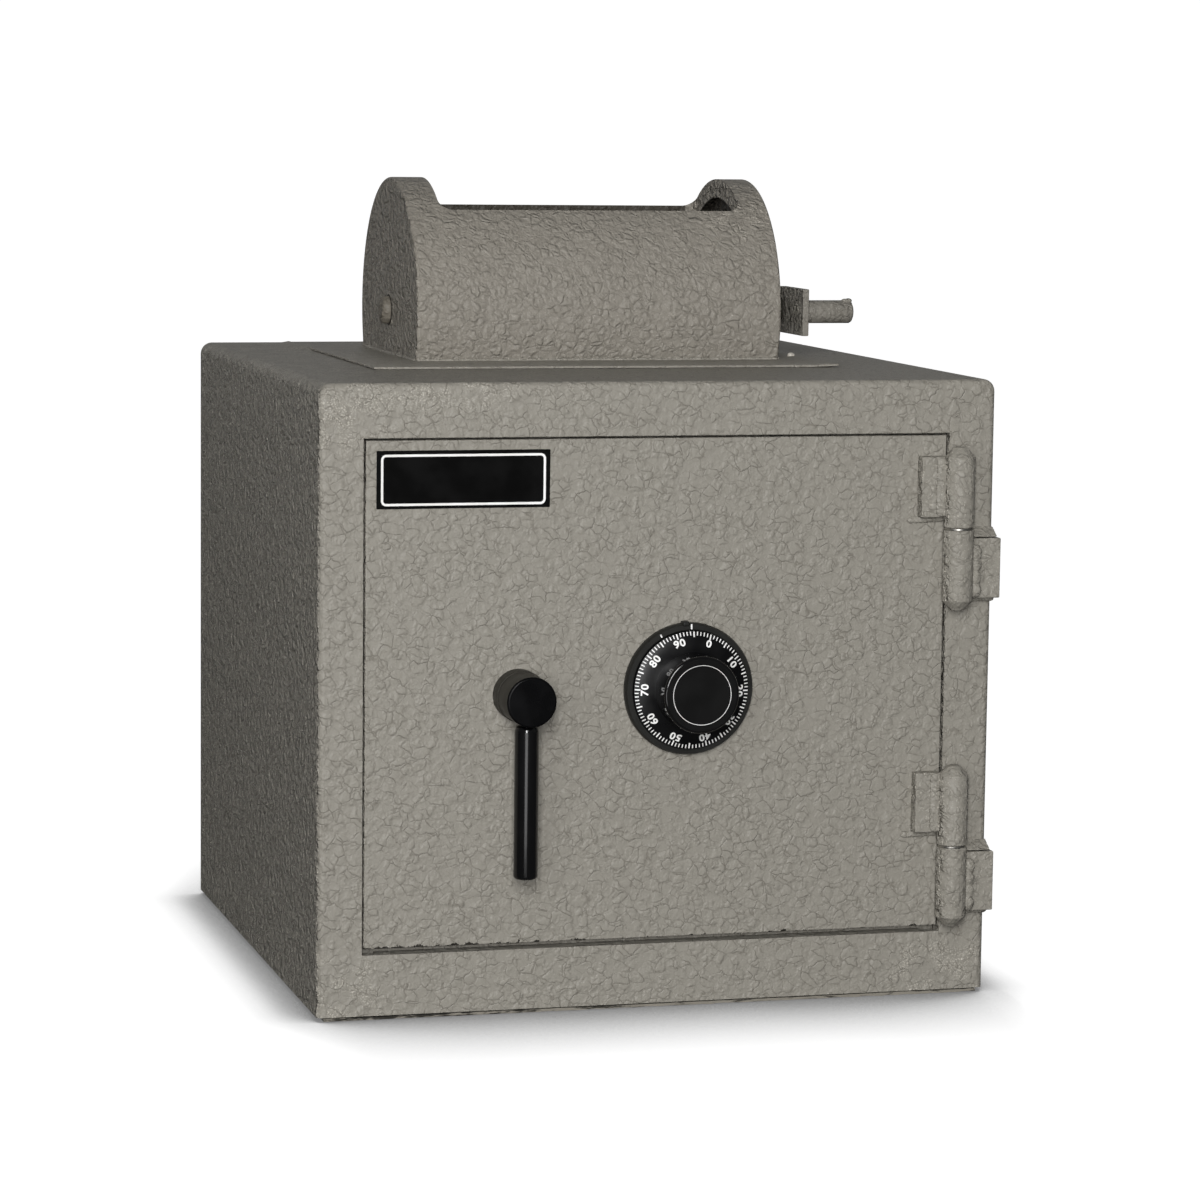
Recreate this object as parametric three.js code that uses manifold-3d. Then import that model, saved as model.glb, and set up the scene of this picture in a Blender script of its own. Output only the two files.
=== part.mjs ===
// Rotary hopper safe: a small floor safe with a combination lock and a turning deposit hopper on top.
// Millimetres. +X right, +Y back, +Z up. Origin at the centre of the footprint, on the floor.
import * as THREE from 'three';
import { mergeVertices } from 'three/addons/utils/BufferGeometryUtils.js';
import Module from 'manifold-3d';

const wasm = await Module();
wasm.setup();

// Clearances and facet counts
const WELD_GAP = 0.25;
const SEAT_GAP = 0.3;
const RUN_GAP = 0.4;
const SLIDE_GAP = 0.75;
const ROUND_FINE = 64;
const ROUND = 32;
const ROUND_SMALL = 24;
const ARC_STEPS = 6;

// Body
const BODY_W = 445;
const BODY_D = 438;
const SHELL_H = 400;
const FLOOR_T = 3;
const FLOOR_INSET_X = 4.5;
const FLOOR_INSET_Y = 3;
const SHELL_T = 6.25;
const SHELL_FOLD_R = 8;
const FRAME_T = 6;
const BACK_T = 6.25;

// Doorway and door, the door set in from the shell's edges
const DOOR_IN_LEFT = 30;
const DOOR_IN_RIGHT = 34.5;
const DOOR_IN_BOTTOM = 43;
const DOOR_IN_TOP = 36;
const DOOR_T = 12;
const GAP_LEFT = 1.5;
const GAP_RIGHT = 3;
const GAP_TOP = 1.5;
const GAP_BOTTOM = 4;
const STOP_T = 5;
const STOP_OVERLAP = 10;
const STOP_SEAT_GAP = 1;
const LABEL_W = 110.75;
const LABEL_H = 34.25;
const LABEL_T = 0.5;
const LABEL_IN_X = 7;
const LABEL_IN_Z = 7.25;
const COVER_T = 2;
const COVER_DEPTH = 40;
const COVER_IN_LEFT = 28;
const COVER_IN_RIGHT = 34;
const COVER_IN_Z = 26;

// Hinges: two lift-off barrels on one upright axis in front of the right-hand gap
const HINGE_IN = 27.5;
const HINGE_OUT = 10;
const HINGE_R = 10;
const HINGE_ABOVE_SILL = 54.5;
const HINGE_BELOW_HEAD = 61;
const DOOR_BARREL_L = 52.75;
const BODY_BARREL_L = 53;
const BARREL_NOSE = 6.5;
const BARREL_NOSE_STEP = 4;
const BARREL_NOSE_STEP_R = 7.5;
const BARREL_NOSE_R = 4;
const HINGE_PIN_R = 5.5;
const HINGE_PIN_UP = 34;
const HINGE_PIN_DOWN = 36;
const WASHER_T = 1.5;
const WASHER_R = 9;
const LEAF_T = 9.5;
const LEAF_H = 39;
const DOOR_LEAF_W = 28;
const BODY_LEAF_W = 29.5;
const DOOR_LEAF_UP = 9;
const BODY_LEAF_DOWN = 5;
const DEAD_BAR_W = 22;
const DEAD_BAR_T = 10;
const DEAD_BAR_H = 200;
const DEAD_BAR_REACH = 6;
const DEAD_BAR_BEHIND = 4;
const DEAD_BAR_BLOCK_W = 14;

// Handle, placed from the door's left edge and its middle height
const HANDLE_IN = 98.25;
const HANDLE_DROP = 0.75;
const COLLAR_R = 16.5;
const COLLAR_L = 12;
const HUB_R = 16;
const HUB_L = 25;
const HUB_BEVEL = 1.25;
const LEVER_R = 8;
const LEVER_REACH = 116;
const LEVER_OUT = 24;
const LEVER_BEVEL = 1.5;
const SPINDLE_R = 6;
const SPINDLE_SHOULDER = 1;
const CRANK_T = 6;
const CRANK_PIN_R = 3;
const CRANK_EYE_R = 11;
const CRANK_TIP_R = 5;

// Bolt work: the handle's quarter turn throws two round bolts behind the left door stop
const BOLT_TRAVEL = 16;
const BOLT_R = 9.5;
const BOLT_SPREAD = 80;
const BOLT_CLEAR = 4;
const BOLT_STOP_GAP = 1;
const BAR_T = 6;
const BAR_BEAM_H = 40;
const BAR_UPRIGHT_W = 16;
const BAR_UPRIGHT_H = 180;
const BAR_UPRIGHT_IN = 56.5;
const BAR_DROP_W = 15;
const BAR_DROP_X = 34.25;
const BAR_FOOT_H = 12;
const GUIDE_T = 6;
const GUIDE_H = 34;
const GUIDE_GAP = 2;
const GUIDE_WALL = 4;
const STRAP_W = 10;
const STRAP_T = 3;
const LUG_W = 5;
const LUG_CLEAR = 1.5;

// Combination lock, placed from the door's left edge and its middle height
const DIAL_IN = 209.75;
const DIAL_RISE = 0.5;
const RING_R = 42.75;
const RING_T = 6;
const RING_FACE_R = 39;
const RING_STEP = 2;
const RING_BEVEL_W = 1.5;
const RING_BEVEL_T = 3;
const DIAL_R = 37;
const DIAL_RING_GAP = 1;
const DIAL_EDGE_OUT = 9;
const DIAL_CONE_OUT = 13;
const KNOB_R = 24.75;
const KNOB_OUT = 33.5;
const KNOB_BEVEL = 1.25;
const DIAL_SPINDLE_R = 3.75;
const DIAL_SOCKET = 4;
const LOCK_W = 60;
const LOCK_UP = 32;
const LOCK_DOWN = 50;
const LOCK_DEPTH = 26;
const LOCK_WALL = 5;
const LOCK_LID_T = 2.5;
const POST_R = 6;
const CAM_R = 16;
const CAM_T = 4;
const CAM_NOTCH = 5;
const WHEEL_R = 17;
const WHEEL_T = 2.5;
const WHEEL_COUNT = 3;
const WHEEL_GAP = 0.75;
const GATE_W = 4;
const LOCK_BOLT_W = 9;
const LOCK_BOLT_T = 12;
const LOCK_BOLT_L = 30.5;
const LOCK_BOLT_OUT = 1;
const LOCK_TRAVEL = 10;
const LEVER_ARM_T = 4;
const LEVER_ARM_W = 4;
const FENCE_CLEAR = 1.5;
const FENCE_LID_GAP = 2;

// Hopper: a flanged half-round hood with a drum that turns inside it
const HOOD_X0 = -120;
const HOOD_L = 254;
const HOOD_R = 90.75;
const HOOD_T = 6.25;
const HOPPER_Y = 53;
const AXIS_UP = 31.75;
const FLANGE_T = 3;
const FLANGE_X0 = -162;
const FLANGE_W = 324;
const FLANGE_FRONT = 140;
const FLANGE_BACK = 140;
const MOUTH_HALF_DEG = 39.5;
const MOUTH_IN_LEFT = 22.5;
const MOUTH_IN_RIGHT = 20;
const MOUTH_CORNER_R = 9;
const MOUTH_CUT_REACH = 145;
const DRUM_GAP = 1;
const DRUM_T = 6;
const DRUM_END_GAP = 1.75;
const AXLE_R = 8.5;
const AXLE_STUB_OUT = 4;
const AXLE_DOME = 3;
const BUSH_R = 13;
const BUSH_L = 18;
const ARM_OUT = 28;
const ARM_T = 4.5;
const ARM_H = 32.5;
const ARM_REACH = 51.5;
const GRIP_REACH = 36.5;
const GRIP_R = 8;
const GRIP_L = 37;

// Places worked out from the sizes above
const FACE_Y = -BODY_D / 2;
const SHELL_Z0 = FLOOR_T;
const TOP_Z = FLOOR_T + SHELL_H;
const WALL_X = BODY_W / 2 - SHELL_T;
const FRAME_BACK_Y = FACE_Y + FRAME_T;
const DOOR_X0 = -BODY_W / 2 + DOOR_IN_LEFT;
const DOOR_X1 = BODY_W / 2 - DOOR_IN_RIGHT;
const DOOR_Z0 = SHELL_Z0 + DOOR_IN_BOTTOM;
const DOOR_Z1 = TOP_Z - DOOR_IN_TOP;
const DOOR_MID_Z = (DOOR_Z0 + DOOR_Z1) / 2;
const DOOR_BACK_Y = FACE_Y + DOOR_T;
const WAY_X0 = DOOR_X0 - GAP_LEFT;
const WAY_X1 = DOOR_X1 + GAP_RIGHT;
const WAY_Z0 = DOOR_Z0 - GAP_BOTTOM;
const WAY_Z1 = DOOR_Z1 + GAP_TOP;
const STOP_FACE_Y = DOOR_BACK_Y + STOP_SEAT_GAP;
const STOP_BACK_Y = STOP_FACE_Y + STOP_T;
const HINGE_X = BODY_W / 2 - HINGE_IN;
const HINGE_Y = FACE_Y - HINGE_OUT;
const HINGE_Z_LOW = DOOR_Z0 + HINGE_ABOVE_SILL;
const HINGE_Z_HIGH = DOOR_Z1 - HINGE_BELOW_HEAD;
const HANDLE_X = DOOR_X0 + HANDLE_IN;
const HANDLE_Z = DOOR_MID_Z - HANDLE_DROP;
const DIAL_X = DOOR_X0 + DIAL_IN;
const DIAL_Z = DOOR_MID_Z + DIAL_RISE;
const FLANGE_Z1 = TOP_Z + FLANGE_T;
const AXIS_Z = TOP_Z + AXIS_UP;
const HOOD_X1 = HOOD_X0 + HOOD_L;
const DRUM_R = HOOD_R - HOOD_T - DRUM_GAP;
const DRUM_X0 = HOOD_X0 + HOOD_T + DRUM_END_GAP;
const DRUM_X1 = HOOD_X1 - HOOD_T - DRUM_END_GAP;
const MOUTH_X0 = HOOD_X0 + MOUTH_IN_LEFT;
const MOUTH_X1 = HOOD_X1 - MOUTH_IN_RIGHT;
const BOLT_Y = STOP_BACK_Y + BOLT_STOP_GAP + BOLT_R;
const CRANK_Y0 = DOOR_BACK_Y + SEAT_GAP;
const CRANK_Y1 = CRANK_Y0 + CRANK_T;
const BAR_Y0 = CRANK_Y1 + BOLT_STOP_GAP;
const BAR_Y1 = BAR_Y0 + BAR_T;
const CRANK_THROW = BOLT_TRAVEL / Math.SQRT2;
const BOLT_X0 = WAY_X0 + STOP_OVERLAP + BOLT_CLEAR;
const UPRIGHT_X0 = WAY_X0 + BAR_UPRIGHT_IN;
const LOCK_Y1 = DOOR_BACK_Y + LOCK_DEPTH;
const LOCK_Z0 = DIAL_Z - LOCK_DOWN;
const LOCK_Z1 = DIAL_Z + LOCK_UP;
const ARM_X0 = HOOD_X1 + ARM_OUT;

// Materials: one warm grey crinkle enamel, gloss black handle and dial, bare steel inside
function material(color, roughness, metalness) {
  return new THREE.MeshStandardMaterial({ color, roughness, metalness });
}

const enamel = () => material(0x8b867e, 0.45, 0.1);
const glossBlack = () => material(0x0d0d0e, 0.2, 0.0);
const labelBlack = () => material(0x0a0a0a, 0.35, 0.0);
const steel = () => material(0x9a9a98, 0.4, 0.9);
const zincSteel = () => material(0xb4b5b0, 0.35, 0.85);
const brass = () => material(0xb79a55, 0.35, 0.9);
const castZinc = () => material(0x7d7f80, 0.5, 0.8);

// Basic solids, each built straight in the part's own axes
const XZ_TO_XYZ = new THREE.Matrix4().set(1, 0, 0, 0, 0, 0, -1, 0, 0, 1, 0, 0, 0, 0, 0, 1);
const YZ_TO_XYZ = new THREE.Matrix4().set(0, 0, 1, 0, 1, 0, 0, 0, 0, 1, 0, 0, 0, 0, 0, 1);

function box(x0, x1, y0, y1, z0, z1) {
  const geometry = new THREE.BoxGeometry(x1 - x0, y1 - y0, z1 - z0);
  return geometry.translate((x0 + x1) / 2, (y0 + y1) / 2, (z0 + z1) / 2);
}

function extrude(shape, length) {
  return new THREE.ExtrudeGeometry(shape, { depth: length, bevelEnabled: false, curveSegments: ARC_STEPS });
}

// A shape drawn as (x, z), carried from y0 to y1
function alongY(shape, y0, y1) {
  return extrude(shape, y1 - y0).applyMatrix4(XZ_TO_XYZ).translate(0, y1, 0);
}

// A shape drawn as (y, z), carried from x0 to x1
function alongX(shape, x0, x1) {
  return extrude(shape, x1 - x0).applyMatrix4(YZ_TO_XYZ).translate(x0, 0, 0);
}

// A shape drawn as (x, y), carried from z0 to z1
function alongZ(shape, z0, z1) {
  return extrude(shape, z1 - z0).translate(0, 0, z0);
}

function polygon(points) {
  return new THREE.Shape(points.map(([u, v]) => new THREE.Vector2(u, v)));
}

// A turned piece: the profile is (radius, distance along the axis), closed on itself or on the axis
function turned(profile, segments) {
  const points = profile.map(([r, along]) => new THREE.Vector2(r, along));
  if (THREE.ShapeUtils.area(points) < 0) points.reverse();
  return new THREE.LatheGeometry(points, segments);
}

function turnedX(profile, segments = ROUND_SMALL) {
  return turned(profile, segments).rotateZ(-Math.PI / 2);
}

// Along +Y, so a distance along the axis is a y coordinate
function turnedY(profile, segments = ROUND) {
  return turned(profile, segments);
}

function turnedZ(profile, segments = ROUND_SMALL) {
  return turned(profile, segments).rotateX(Math.PI / 2);
}

function rod(r, from, to) {
  return [[0, from], [r, from], [r, to], [0, to]];
}

function tube(inner, outer, from, to) {
  return [[inner, from], [outer, from], [outer, to], [inner, to], [inner, from]];
}

// Boolean cuts and joins on merged, closed meshes
function toSolid(geometry) {
  const bare = geometry.clone();
  bare.deleteAttribute('normal');
  bare.deleteAttribute('uv');
  const merged = mergeVertices(bare, 1e-4);
  const mesh = new wasm.Mesh({
    numProp: 3,
    vertProperties: new Float32Array(merged.attributes.position.array),
    triVerts: new Uint32Array(merged.index.array),
  });
  return new wasm.Manifold(mesh);
}

function toGeometry(solid) {
  const mesh = solid.getMesh();
  const geometry = new THREE.BufferGeometry();
  geometry.setAttribute('position', new THREE.BufferAttribute(mesh.vertProperties, mesh.numProp));
  geometry.setIndex(new THREE.BufferAttribute(mesh.triVerts, 1));
  geometry.computeVertexNormals();
  return geometry;
}

function cut(geometry, ...tools) {
  return toGeometry(tools.reduce((solid, tool) => solid.subtract(toSolid(tool)), toSolid(geometry)));
}

function join(geometry, ...others) {
  return toGeometry(others.reduce((solid, other) => solid.add(toSolid(other)), toSolid(geometry)));
}

function piece(parent, name, geometry, look) {
  const mesh = new THREE.Mesh(geometry, look);
  mesh.name = name;
  parent.add(mesh);
  return mesh;
}

function group(parent, x = 0, y = 0, z = 0) {
  const child = new THREE.Group();
  child.position.set(x, y, z);
  parent.add(child);
  return child;
}

// Outline of a sheet folded over both top edges: square at the bottom, rounded at the top
function archOutline(path, x, z0, z1, r) {
  path.moveTo(-x, z0);
  path.lineTo(x, z0);
  path.lineTo(x, z1 - r);
  path.absarc(x - r, z1 - r, r, 0, Math.PI / 2, false);
  path.lineTo(-x + r, z1);
  path.absarc(-x + r, z1 - r, r, Math.PI / 2, Math.PI, false);
  path.lineTo(-x, z0);
  return path;
}

// Body: folded shell, front frame, back and floor plates, and the stops behind the door
function buildShell() {
  const outer = BODY_W / 2;
  const inner = outer - SHELL_T;
  const innerR = SHELL_FOLD_R - SHELL_T;
  const shape = new THREE.Shape();
  shape.moveTo(-outer, SHELL_Z0);
  shape.lineTo(-inner, SHELL_Z0);
  shape.lineTo(-inner, TOP_Z - SHELL_FOLD_R);
  shape.absarc(-inner + innerR, TOP_Z - SHELL_FOLD_R, innerR, Math.PI, Math.PI / 2, true);
  shape.lineTo(inner - innerR, TOP_Z - SHELL_T);
  shape.absarc(inner - innerR, TOP_Z - SHELL_FOLD_R, innerR, Math.PI / 2, 0, true);
  shape.lineTo(inner, SHELL_Z0);
  shape.lineTo(outer, SHELL_Z0);
  shape.lineTo(outer, TOP_Z - SHELL_FOLD_R);
  shape.absarc(outer - SHELL_FOLD_R, TOP_Z - SHELL_FOLD_R, SHELL_FOLD_R, 0, Math.PI / 2, false);
  shape.lineTo(-outer + SHELL_FOLD_R, TOP_Z);
  shape.absarc(-outer + SHELL_FOLD_R, TOP_Z - SHELL_FOLD_R, SHELL_FOLD_R, Math.PI / 2, Math.PI, false);
  shape.lineTo(-outer, SHELL_Z0);
  return cut(alongY(shape, FRAME_BACK_Y, BODY_D / 2), dropSlot());
}

// The slot that the drum turns through, as long and as deep as the inside of the hood
function dropSlot() {
  const half = slotHalf();
  const x0 = HOOD_X0 + HOOD_T;
  const x1 = HOOD_X1 - HOOD_T;
  return box(x0, x1, HOPPER_Y - half, HOPPER_Y + half, TOP_Z - 2 * SHELL_T, FLANGE_Z1 + FLANGE_T);
}

function slotHalf() {
  const rise = AXIS_Z - FLANGE_Z1;
  return Math.sqrt((HOOD_R - HOOD_T) ** 2 - rise ** 2);
}

function buildBody(safe) {
  piece(safe, 'body_shell', buildShell(), enamel());

  const floorX = BODY_W / 2 - FLOOR_INSET_X;
  const floorY = BODY_D / 2 - FLOOR_INSET_Y;
  piece(safe, 'bottom_plate', box(-floorX, floorX, -floorY, floorY, 0, FLOOR_T), enamel());

  const back = new THREE.Shape();
  const backR = SHELL_FOLD_R - SHELL_T - WELD_GAP;
  archOutline(back, WALL_X - WELD_GAP, SHELL_Z0, TOP_Z - SHELL_T - WELD_GAP, backR);
  piece(safe, 'back_plate', alongY(back, BODY_D / 2 - BACK_T, BODY_D / 2), enamel());

  const frame = new THREE.Shape();
  archOutline(frame, BODY_W / 2, SHELL_Z0, TOP_Z, SHELL_FOLD_R);
  frame.holes.push(polygon([[WAY_X0, WAY_Z0], [WAY_X0, WAY_Z1], [WAY_X1, WAY_Z1], [WAY_X1, WAY_Z0]]));
  piece(safe, 'front_frame', alongY(frame, FACE_Y, FRAME_BACK_Y), enamel());

  buildStops(safe);
}

// Each stop is an angle: one leg welded behind the frame, the other standing into the doorway
function buildStops(safe) {
  for (const [name, edge, side] of [['door_stop_left', WAY_X0, 1], ['door_stop_right', WAY_X1, -1]]) {
    const outline = polygon(stopOutline(edge, side));
    piece(safe, name, alongZ(outline, WAY_Z0 - STOP_T, WAY_Z1 + STOP_T), enamel());
  }
  const x0 = WAY_X0 + STOP_OVERLAP;
  const x1 = WAY_X1 - STOP_OVERLAP;
  for (const [name, edge, side] of [['door_stop_bottom', WAY_Z0, 1], ['door_stop_top', WAY_Z1, -1]]) {
    const outline = stopOutline(edge, side).map(([across, y]) => [y, across]);
    piece(safe, name, alongX(polygon(outline), x0, x1), enamel());
  }
}

// The angle's outline as (across the doorway, y)
function stopOutline(edge, side) {
  return [
    [edge - side * STOP_T, FRAME_BACK_Y],
    [edge, FRAME_BACK_Y],
    [edge, STOP_FACE_Y],
    [edge + side * STOP_OVERLAP, STOP_FACE_Y],
    [edge + side * STOP_OVERLAP, STOP_BACK_Y],
    [edge - side * STOP_T, STOP_BACK_Y],
  ];
}

// The angle below level at which a barrel of this radius meets the flange
function footAngle(r) {
  return Math.asin((AXIS_Z - FLANGE_Z1) / r);
}

// The wedge above the axis that opens the drum between the mouth's two edges
function mouthWedge(x0, x1) {
  const half = THREE.MathUtils.degToRad(MOUTH_HALF_DEG);
  const across = MOUTH_CUT_REACH * Math.sin(half);
  const up = MOUTH_CUT_REACH * Math.cos(half);
  const outline = [[HOPPER_Y, AXIS_Z], [HOPPER_Y + across, AXIS_Z + up], [HOPPER_Y - across, AXIS_Z + up]];
  return alongX(polygon(outline), x0, x1);
}

// The hood's mouth, cut straight down: a rectangle in plan with round corners
function mouthCut() {
  const half = HOOD_R * Math.sin(THREE.MathUtils.degToRad(MOUTH_HALF_DEG));
  const r = MOUTH_CORNER_R;
  const y0 = HOPPER_Y - half;
  const y1 = HOPPER_Y + half;
  const plan = new THREE.Shape();
  plan.absarc(MOUTH_X1 - r, y1 - r, r, 0, Math.PI / 2, false);
  plan.absarc(MOUTH_X0 + r, y1 - r, r, Math.PI / 2, Math.PI, false);
  plan.absarc(MOUTH_X0 + r, y0 + r, r, Math.PI, 1.5 * Math.PI, false);
  plan.absarc(MOUTH_X1 - r, y0 + r, r, 1.5 * Math.PI, 2 * Math.PI, false);
  return alongZ(plan, AXIS_Z, AXIS_Z + MOUTH_CUT_REACH);
}

// Hopper housing on the top: flange, hood barrel, two end plates and the crank side's bush
function buildHousing(safe) {
  const x1 = FLANGE_X0 + FLANGE_W;
  const flange = box(FLANGE_X0, x1, HOPPER_Y - FLANGE_FRONT, HOPPER_Y + FLANGE_BACK, TOP_Z, FLANGE_Z1);
  piece(safe, 'hopper_flange', cut(flange, dropSlot()), enamel());

  const inX0 = HOOD_X0 + HOOD_T;
  const inX1 = HOOD_X1 - HOOD_T;
  const foot = footAngle(HOOD_R);
  const innerFoot = footAngle(HOOD_R - HOOD_T);
  const outside = arcPoints(HOOD_R, -foot, Math.PI + foot, ROUND_FINE);
  const inside = arcPoints(HOOD_R - HOOD_T, Math.PI + innerFoot, -innerFoot, ROUND_FINE);
  const barrel = new THREE.Shape(outside.concat(inside));
  const hood = cut(alongX(barrel, inX0, inX1), mouthCut());
  piece(safe, 'hood_barrel', hood, enamel());

  const shape = new THREE.Shape(outside);
  const bore = turnedX(rod(AXLE_R + RUN_GAP, HOOD_X0 - HOOD_T, HOOD_X1 + HOOD_T));
  bore.translate(0, HOPPER_Y, AXIS_Z);
  piece(safe, 'hood_end_left', cut(alongX(shape, HOOD_X0, inX0), bore), enamel());
  piece(safe, 'hood_end_right', cut(alongX(shape, inX1, HOOD_X1), bore), enamel());

  const bushing = group(safe, 0, HOPPER_Y, AXIS_Z);
  const bush = turnedX(tube(AXLE_R + RUN_GAP, BUSH_R, HOOD_X1, HOOD_X1 + BUSH_L));
  piece(bushing, 'axle_bush', bush, enamel());
}

// Points on a circle about the hopper's axis, as (y, z)
function arcPoints(r, from, to, steps) {
  const points = [];
  for (let i = 0; i <= steps; i += 1) {
    const a = from + ((to - from) * i) / steps;
    points.push(new THREE.Vector2(HOPPER_Y + r * Math.cos(a), AXIS_Z + r * Math.sin(a)));
  }
  return points;
}

// Drum: an open-mouthed barrel with closed ends, stub axles and the crank outside
function buildDrum(safe) {
  const inX0 = DRUM_X0 + DRUM_T;
  const inX1 = DRUM_X1 - DRUM_T;
  const turn = 2 * Math.PI;
  const wall = new THREE.Shape(arcPoints(DRUM_R, 0, turn, ROUND_FINE).slice(0, -1));
  wall.holes.push(new THREE.Path(arcPoints(DRUM_R - DRUM_T, 0, turn, ROUND_FINE).slice(0, -1)));
  piece(safe, 'drum_barrel', cut(alongX(wall, inX0, inX1), mouthWedge(MOUTH_X0, MOUTH_X1)), enamel());

  const axis = group(safe, 0, HOPPER_Y, AXIS_Z);
  const disc = (x0, x1) => turnedX(rod(DRUM_R, x0, x1), ROUND_FINE);
  piece(axis, 'drum_end_left', disc(DRUM_X0, inX0), enamel());
  piece(axis, 'drum_end_right', disc(inX1, DRUM_X1), enamel());

  const domeX = HOOD_X0 - AXLE_STUB_OUT + AXLE_DOME;
  const dome = [];
  for (let i = 0; i <= ARC_STEPS; i += 1) {
    const a = (i / ARC_STEPS) * (Math.PI / 2);
    dome.push([AXLE_R * Math.sin(a), domeX - AXLE_DOME * Math.cos(a)]);
  }
  piece(axis, 'axle_left', turnedX([...dome, [AXLE_R, DRUM_X0], [0, DRUM_X0]]), enamel());
  piece(axis, 'axle_right', turnedX(rod(AXLE_R, DRUM_X1, ARM_X0)), enamel());

  const arm = new THREE.Shape();
  arm.moveTo(0, -ARM_H / 2);
  arm.absarc(0, 0, ARM_H / 2, -Math.PI / 2, Math.PI / 2, false);
  arm.lineTo(-ARM_REACH, ARM_H / 2);
  arm.lineTo(-ARM_REACH, -ARM_H / 2);
  arm.lineTo(0, -ARM_H / 2);
  piece(axis, 'crank_arm', alongX(arm, ARM_X0, ARM_X0 + ARM_T), enamel());

  const grip = turnedX(rod(GRIP_R, ARM_X0 + ARM_T, ARM_X0 + ARM_T + GRIP_L));
  piece(axis, 'crank_grip', grip.translate(0, -GRIP_REACH, 0), enamel());
}

// A bullet nose from its tip back to the shoulder, which is at the given height
function barrelNose(shoulder, side) {
  return [
    [0, shoulder + side * BARREL_NOSE],
    [BARREL_NOSE_R, shoulder + side * BARREL_NOSE],
    [BARREL_NOSE_STEP_R, shoulder + side * BARREL_NOSE_STEP],
    [HINGE_R, shoulder],
  ];
}

// One hinge: bullet barrels on the door and the body, leaves, pin and washer
function buildHinge(safe, tag, z) {
  const axis = group(safe, HINGE_X, HINGE_Y, z);
  const bodyTop = -WASHER_T / 2;
  const doorFoot = WASHER_T / 2;
  const bodyEnd = -BODY_BARREL_L;
  const doorEnd = DOOR_BARREL_L;

  const pinBore = HINGE_PIN_R + SEAT_GAP;
  const bodyProfile = [
    ...barrelNose(bodyEnd + BARREL_NOSE, -1),
    [HINGE_R, bodyTop],
    [pinBore, bodyTop],
    [pinBore, -HINGE_PIN_DOWN - SEAT_GAP],
    [0, -HINGE_PIN_DOWN - SEAT_GAP],
  ];
  piece(axis, `hinge_body_barrel_${tag}`, turnedZ(bodyProfile), enamel());

  const doorBore = HINGE_PIN_R + RUN_GAP;
  const doorProfile = [
    ...barrelNose(doorEnd - BARREL_NOSE, 1),
    [HINGE_R, doorFoot],
    [doorBore, doorFoot],
    [doorBore, HINGE_PIN_UP + RUN_GAP],
    [0, HINGE_PIN_UP + RUN_GAP],
  ];
  piece(axis, `hinge_door_barrel_${tag}`, turnedZ(doorProfile), enamel());

  piece(axis, `hinge_pin_${tag}`, turnedZ(rod(HINGE_PIN_R, HINGE_PIN_UP, -HINGE_PIN_DOWN)), steel());
  const washer = tube(HINGE_PIN_R + SEAT_GAP, WASHER_R, doorFoot - SEAT_GAP, bodyTop + SEAT_GAP);
  piece(axis, `hinge_washer_${tag}`, turnedZ(washer), zincSteel());

  const clear = turnedZ(rod(HINGE_R + SEAT_GAP, doorEnd, bodyEnd)).translate(HINGE_X, HINGE_Y, z);
  const leafFront = FACE_Y - LEAF_T;
  const doorLeaf = box(HINGE_X - DOOR_LEAF_W, HINGE_X, leafFront, FACE_Y, z + DOOR_LEAF_UP,
    z + DOOR_LEAF_UP + LEAF_H);
  const doorSide = box(DOOR_X1, HINGE_X + HINGE_R, leafFront - LEAF_T, FACE_Y + LEAF_T, z, z + DOOR_BARREL_L);
  piece(safe, `hinge_door_leaf_${tag}`, cut(doorLeaf, clear, doorSide), enamel());
  const bodyLeaf = box(HINGE_X, HINGE_X + BODY_LEAF_W, leafFront, FACE_Y, z - BODY_LEAF_DOWN - LEAF_H,
    z - BODY_LEAF_DOWN);
  piece(safe, `hinge_body_leaf_${tag}`, cut(bodyLeaf, clear), enamel());
}

// Door: face plate, blank label plate, dead bar behind the hinge side, and the inner cover
function buildDoor(safe) {
  const plate = box(DOOR_X0, DOOR_X1, FACE_Y, DOOR_BACK_Y, DOOR_Z0, DOOR_Z1);
  const y0 = FACE_Y - DOOR_T;
  const y1 = DOOR_BACK_Y + DOOR_T;
  const handleBore = turnedY(rod(SPINDLE_R + RUN_GAP, y0, y1), ROUND_SMALL).translate(HANDLE_X, 0, HANDLE_Z);
  const dialBore = turnedY(rod(DIAL_SPINDLE_R + RUN_GAP, y0, y1), ROUND_SMALL).translate(DIAL_X, 0, DIAL_Z);
  piece(safe, 'door_plate', cut(plate, handleBore, dialBore), enamel());

  const labelX0 = DOOR_X0 + LABEL_IN_X;
  const labelZ1 = DOOR_Z1 - LABEL_IN_Z;
  const label = box(labelX0, labelX0 + LABEL_W, FACE_Y - LABEL_T, FACE_Y, labelZ1 - LABEL_H, labelZ1);
  piece(safe, 'label_plate', label, labelBlack());

  const barY0 = STOP_BACK_Y + DEAD_BAR_BEHIND;
  const barX1 = WAY_X1 + DEAD_BAR_REACH - STOP_OVERLAP;
  const barX0 = barX1 - DEAD_BAR_W;
  const barZ0 = (DOOR_Z0 + DOOR_Z1 - DEAD_BAR_H) / 2;
  const bar = box(barX0, barX1, barY0, barY0 + DEAD_BAR_T, barZ0, barZ0 + DEAD_BAR_H);
  const blockX1 = barX0 + DEAD_BAR_BLOCK_W;
  const block = box(barX0, blockX1, DOOR_BACK_Y, barY0 + DEAD_BAR_T / 2, barZ0, barZ0 + DEAD_BAR_H);
  piece(safe, 'dead_bar', join(bar, block), enamel());

  buildCover(safe);
}

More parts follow.
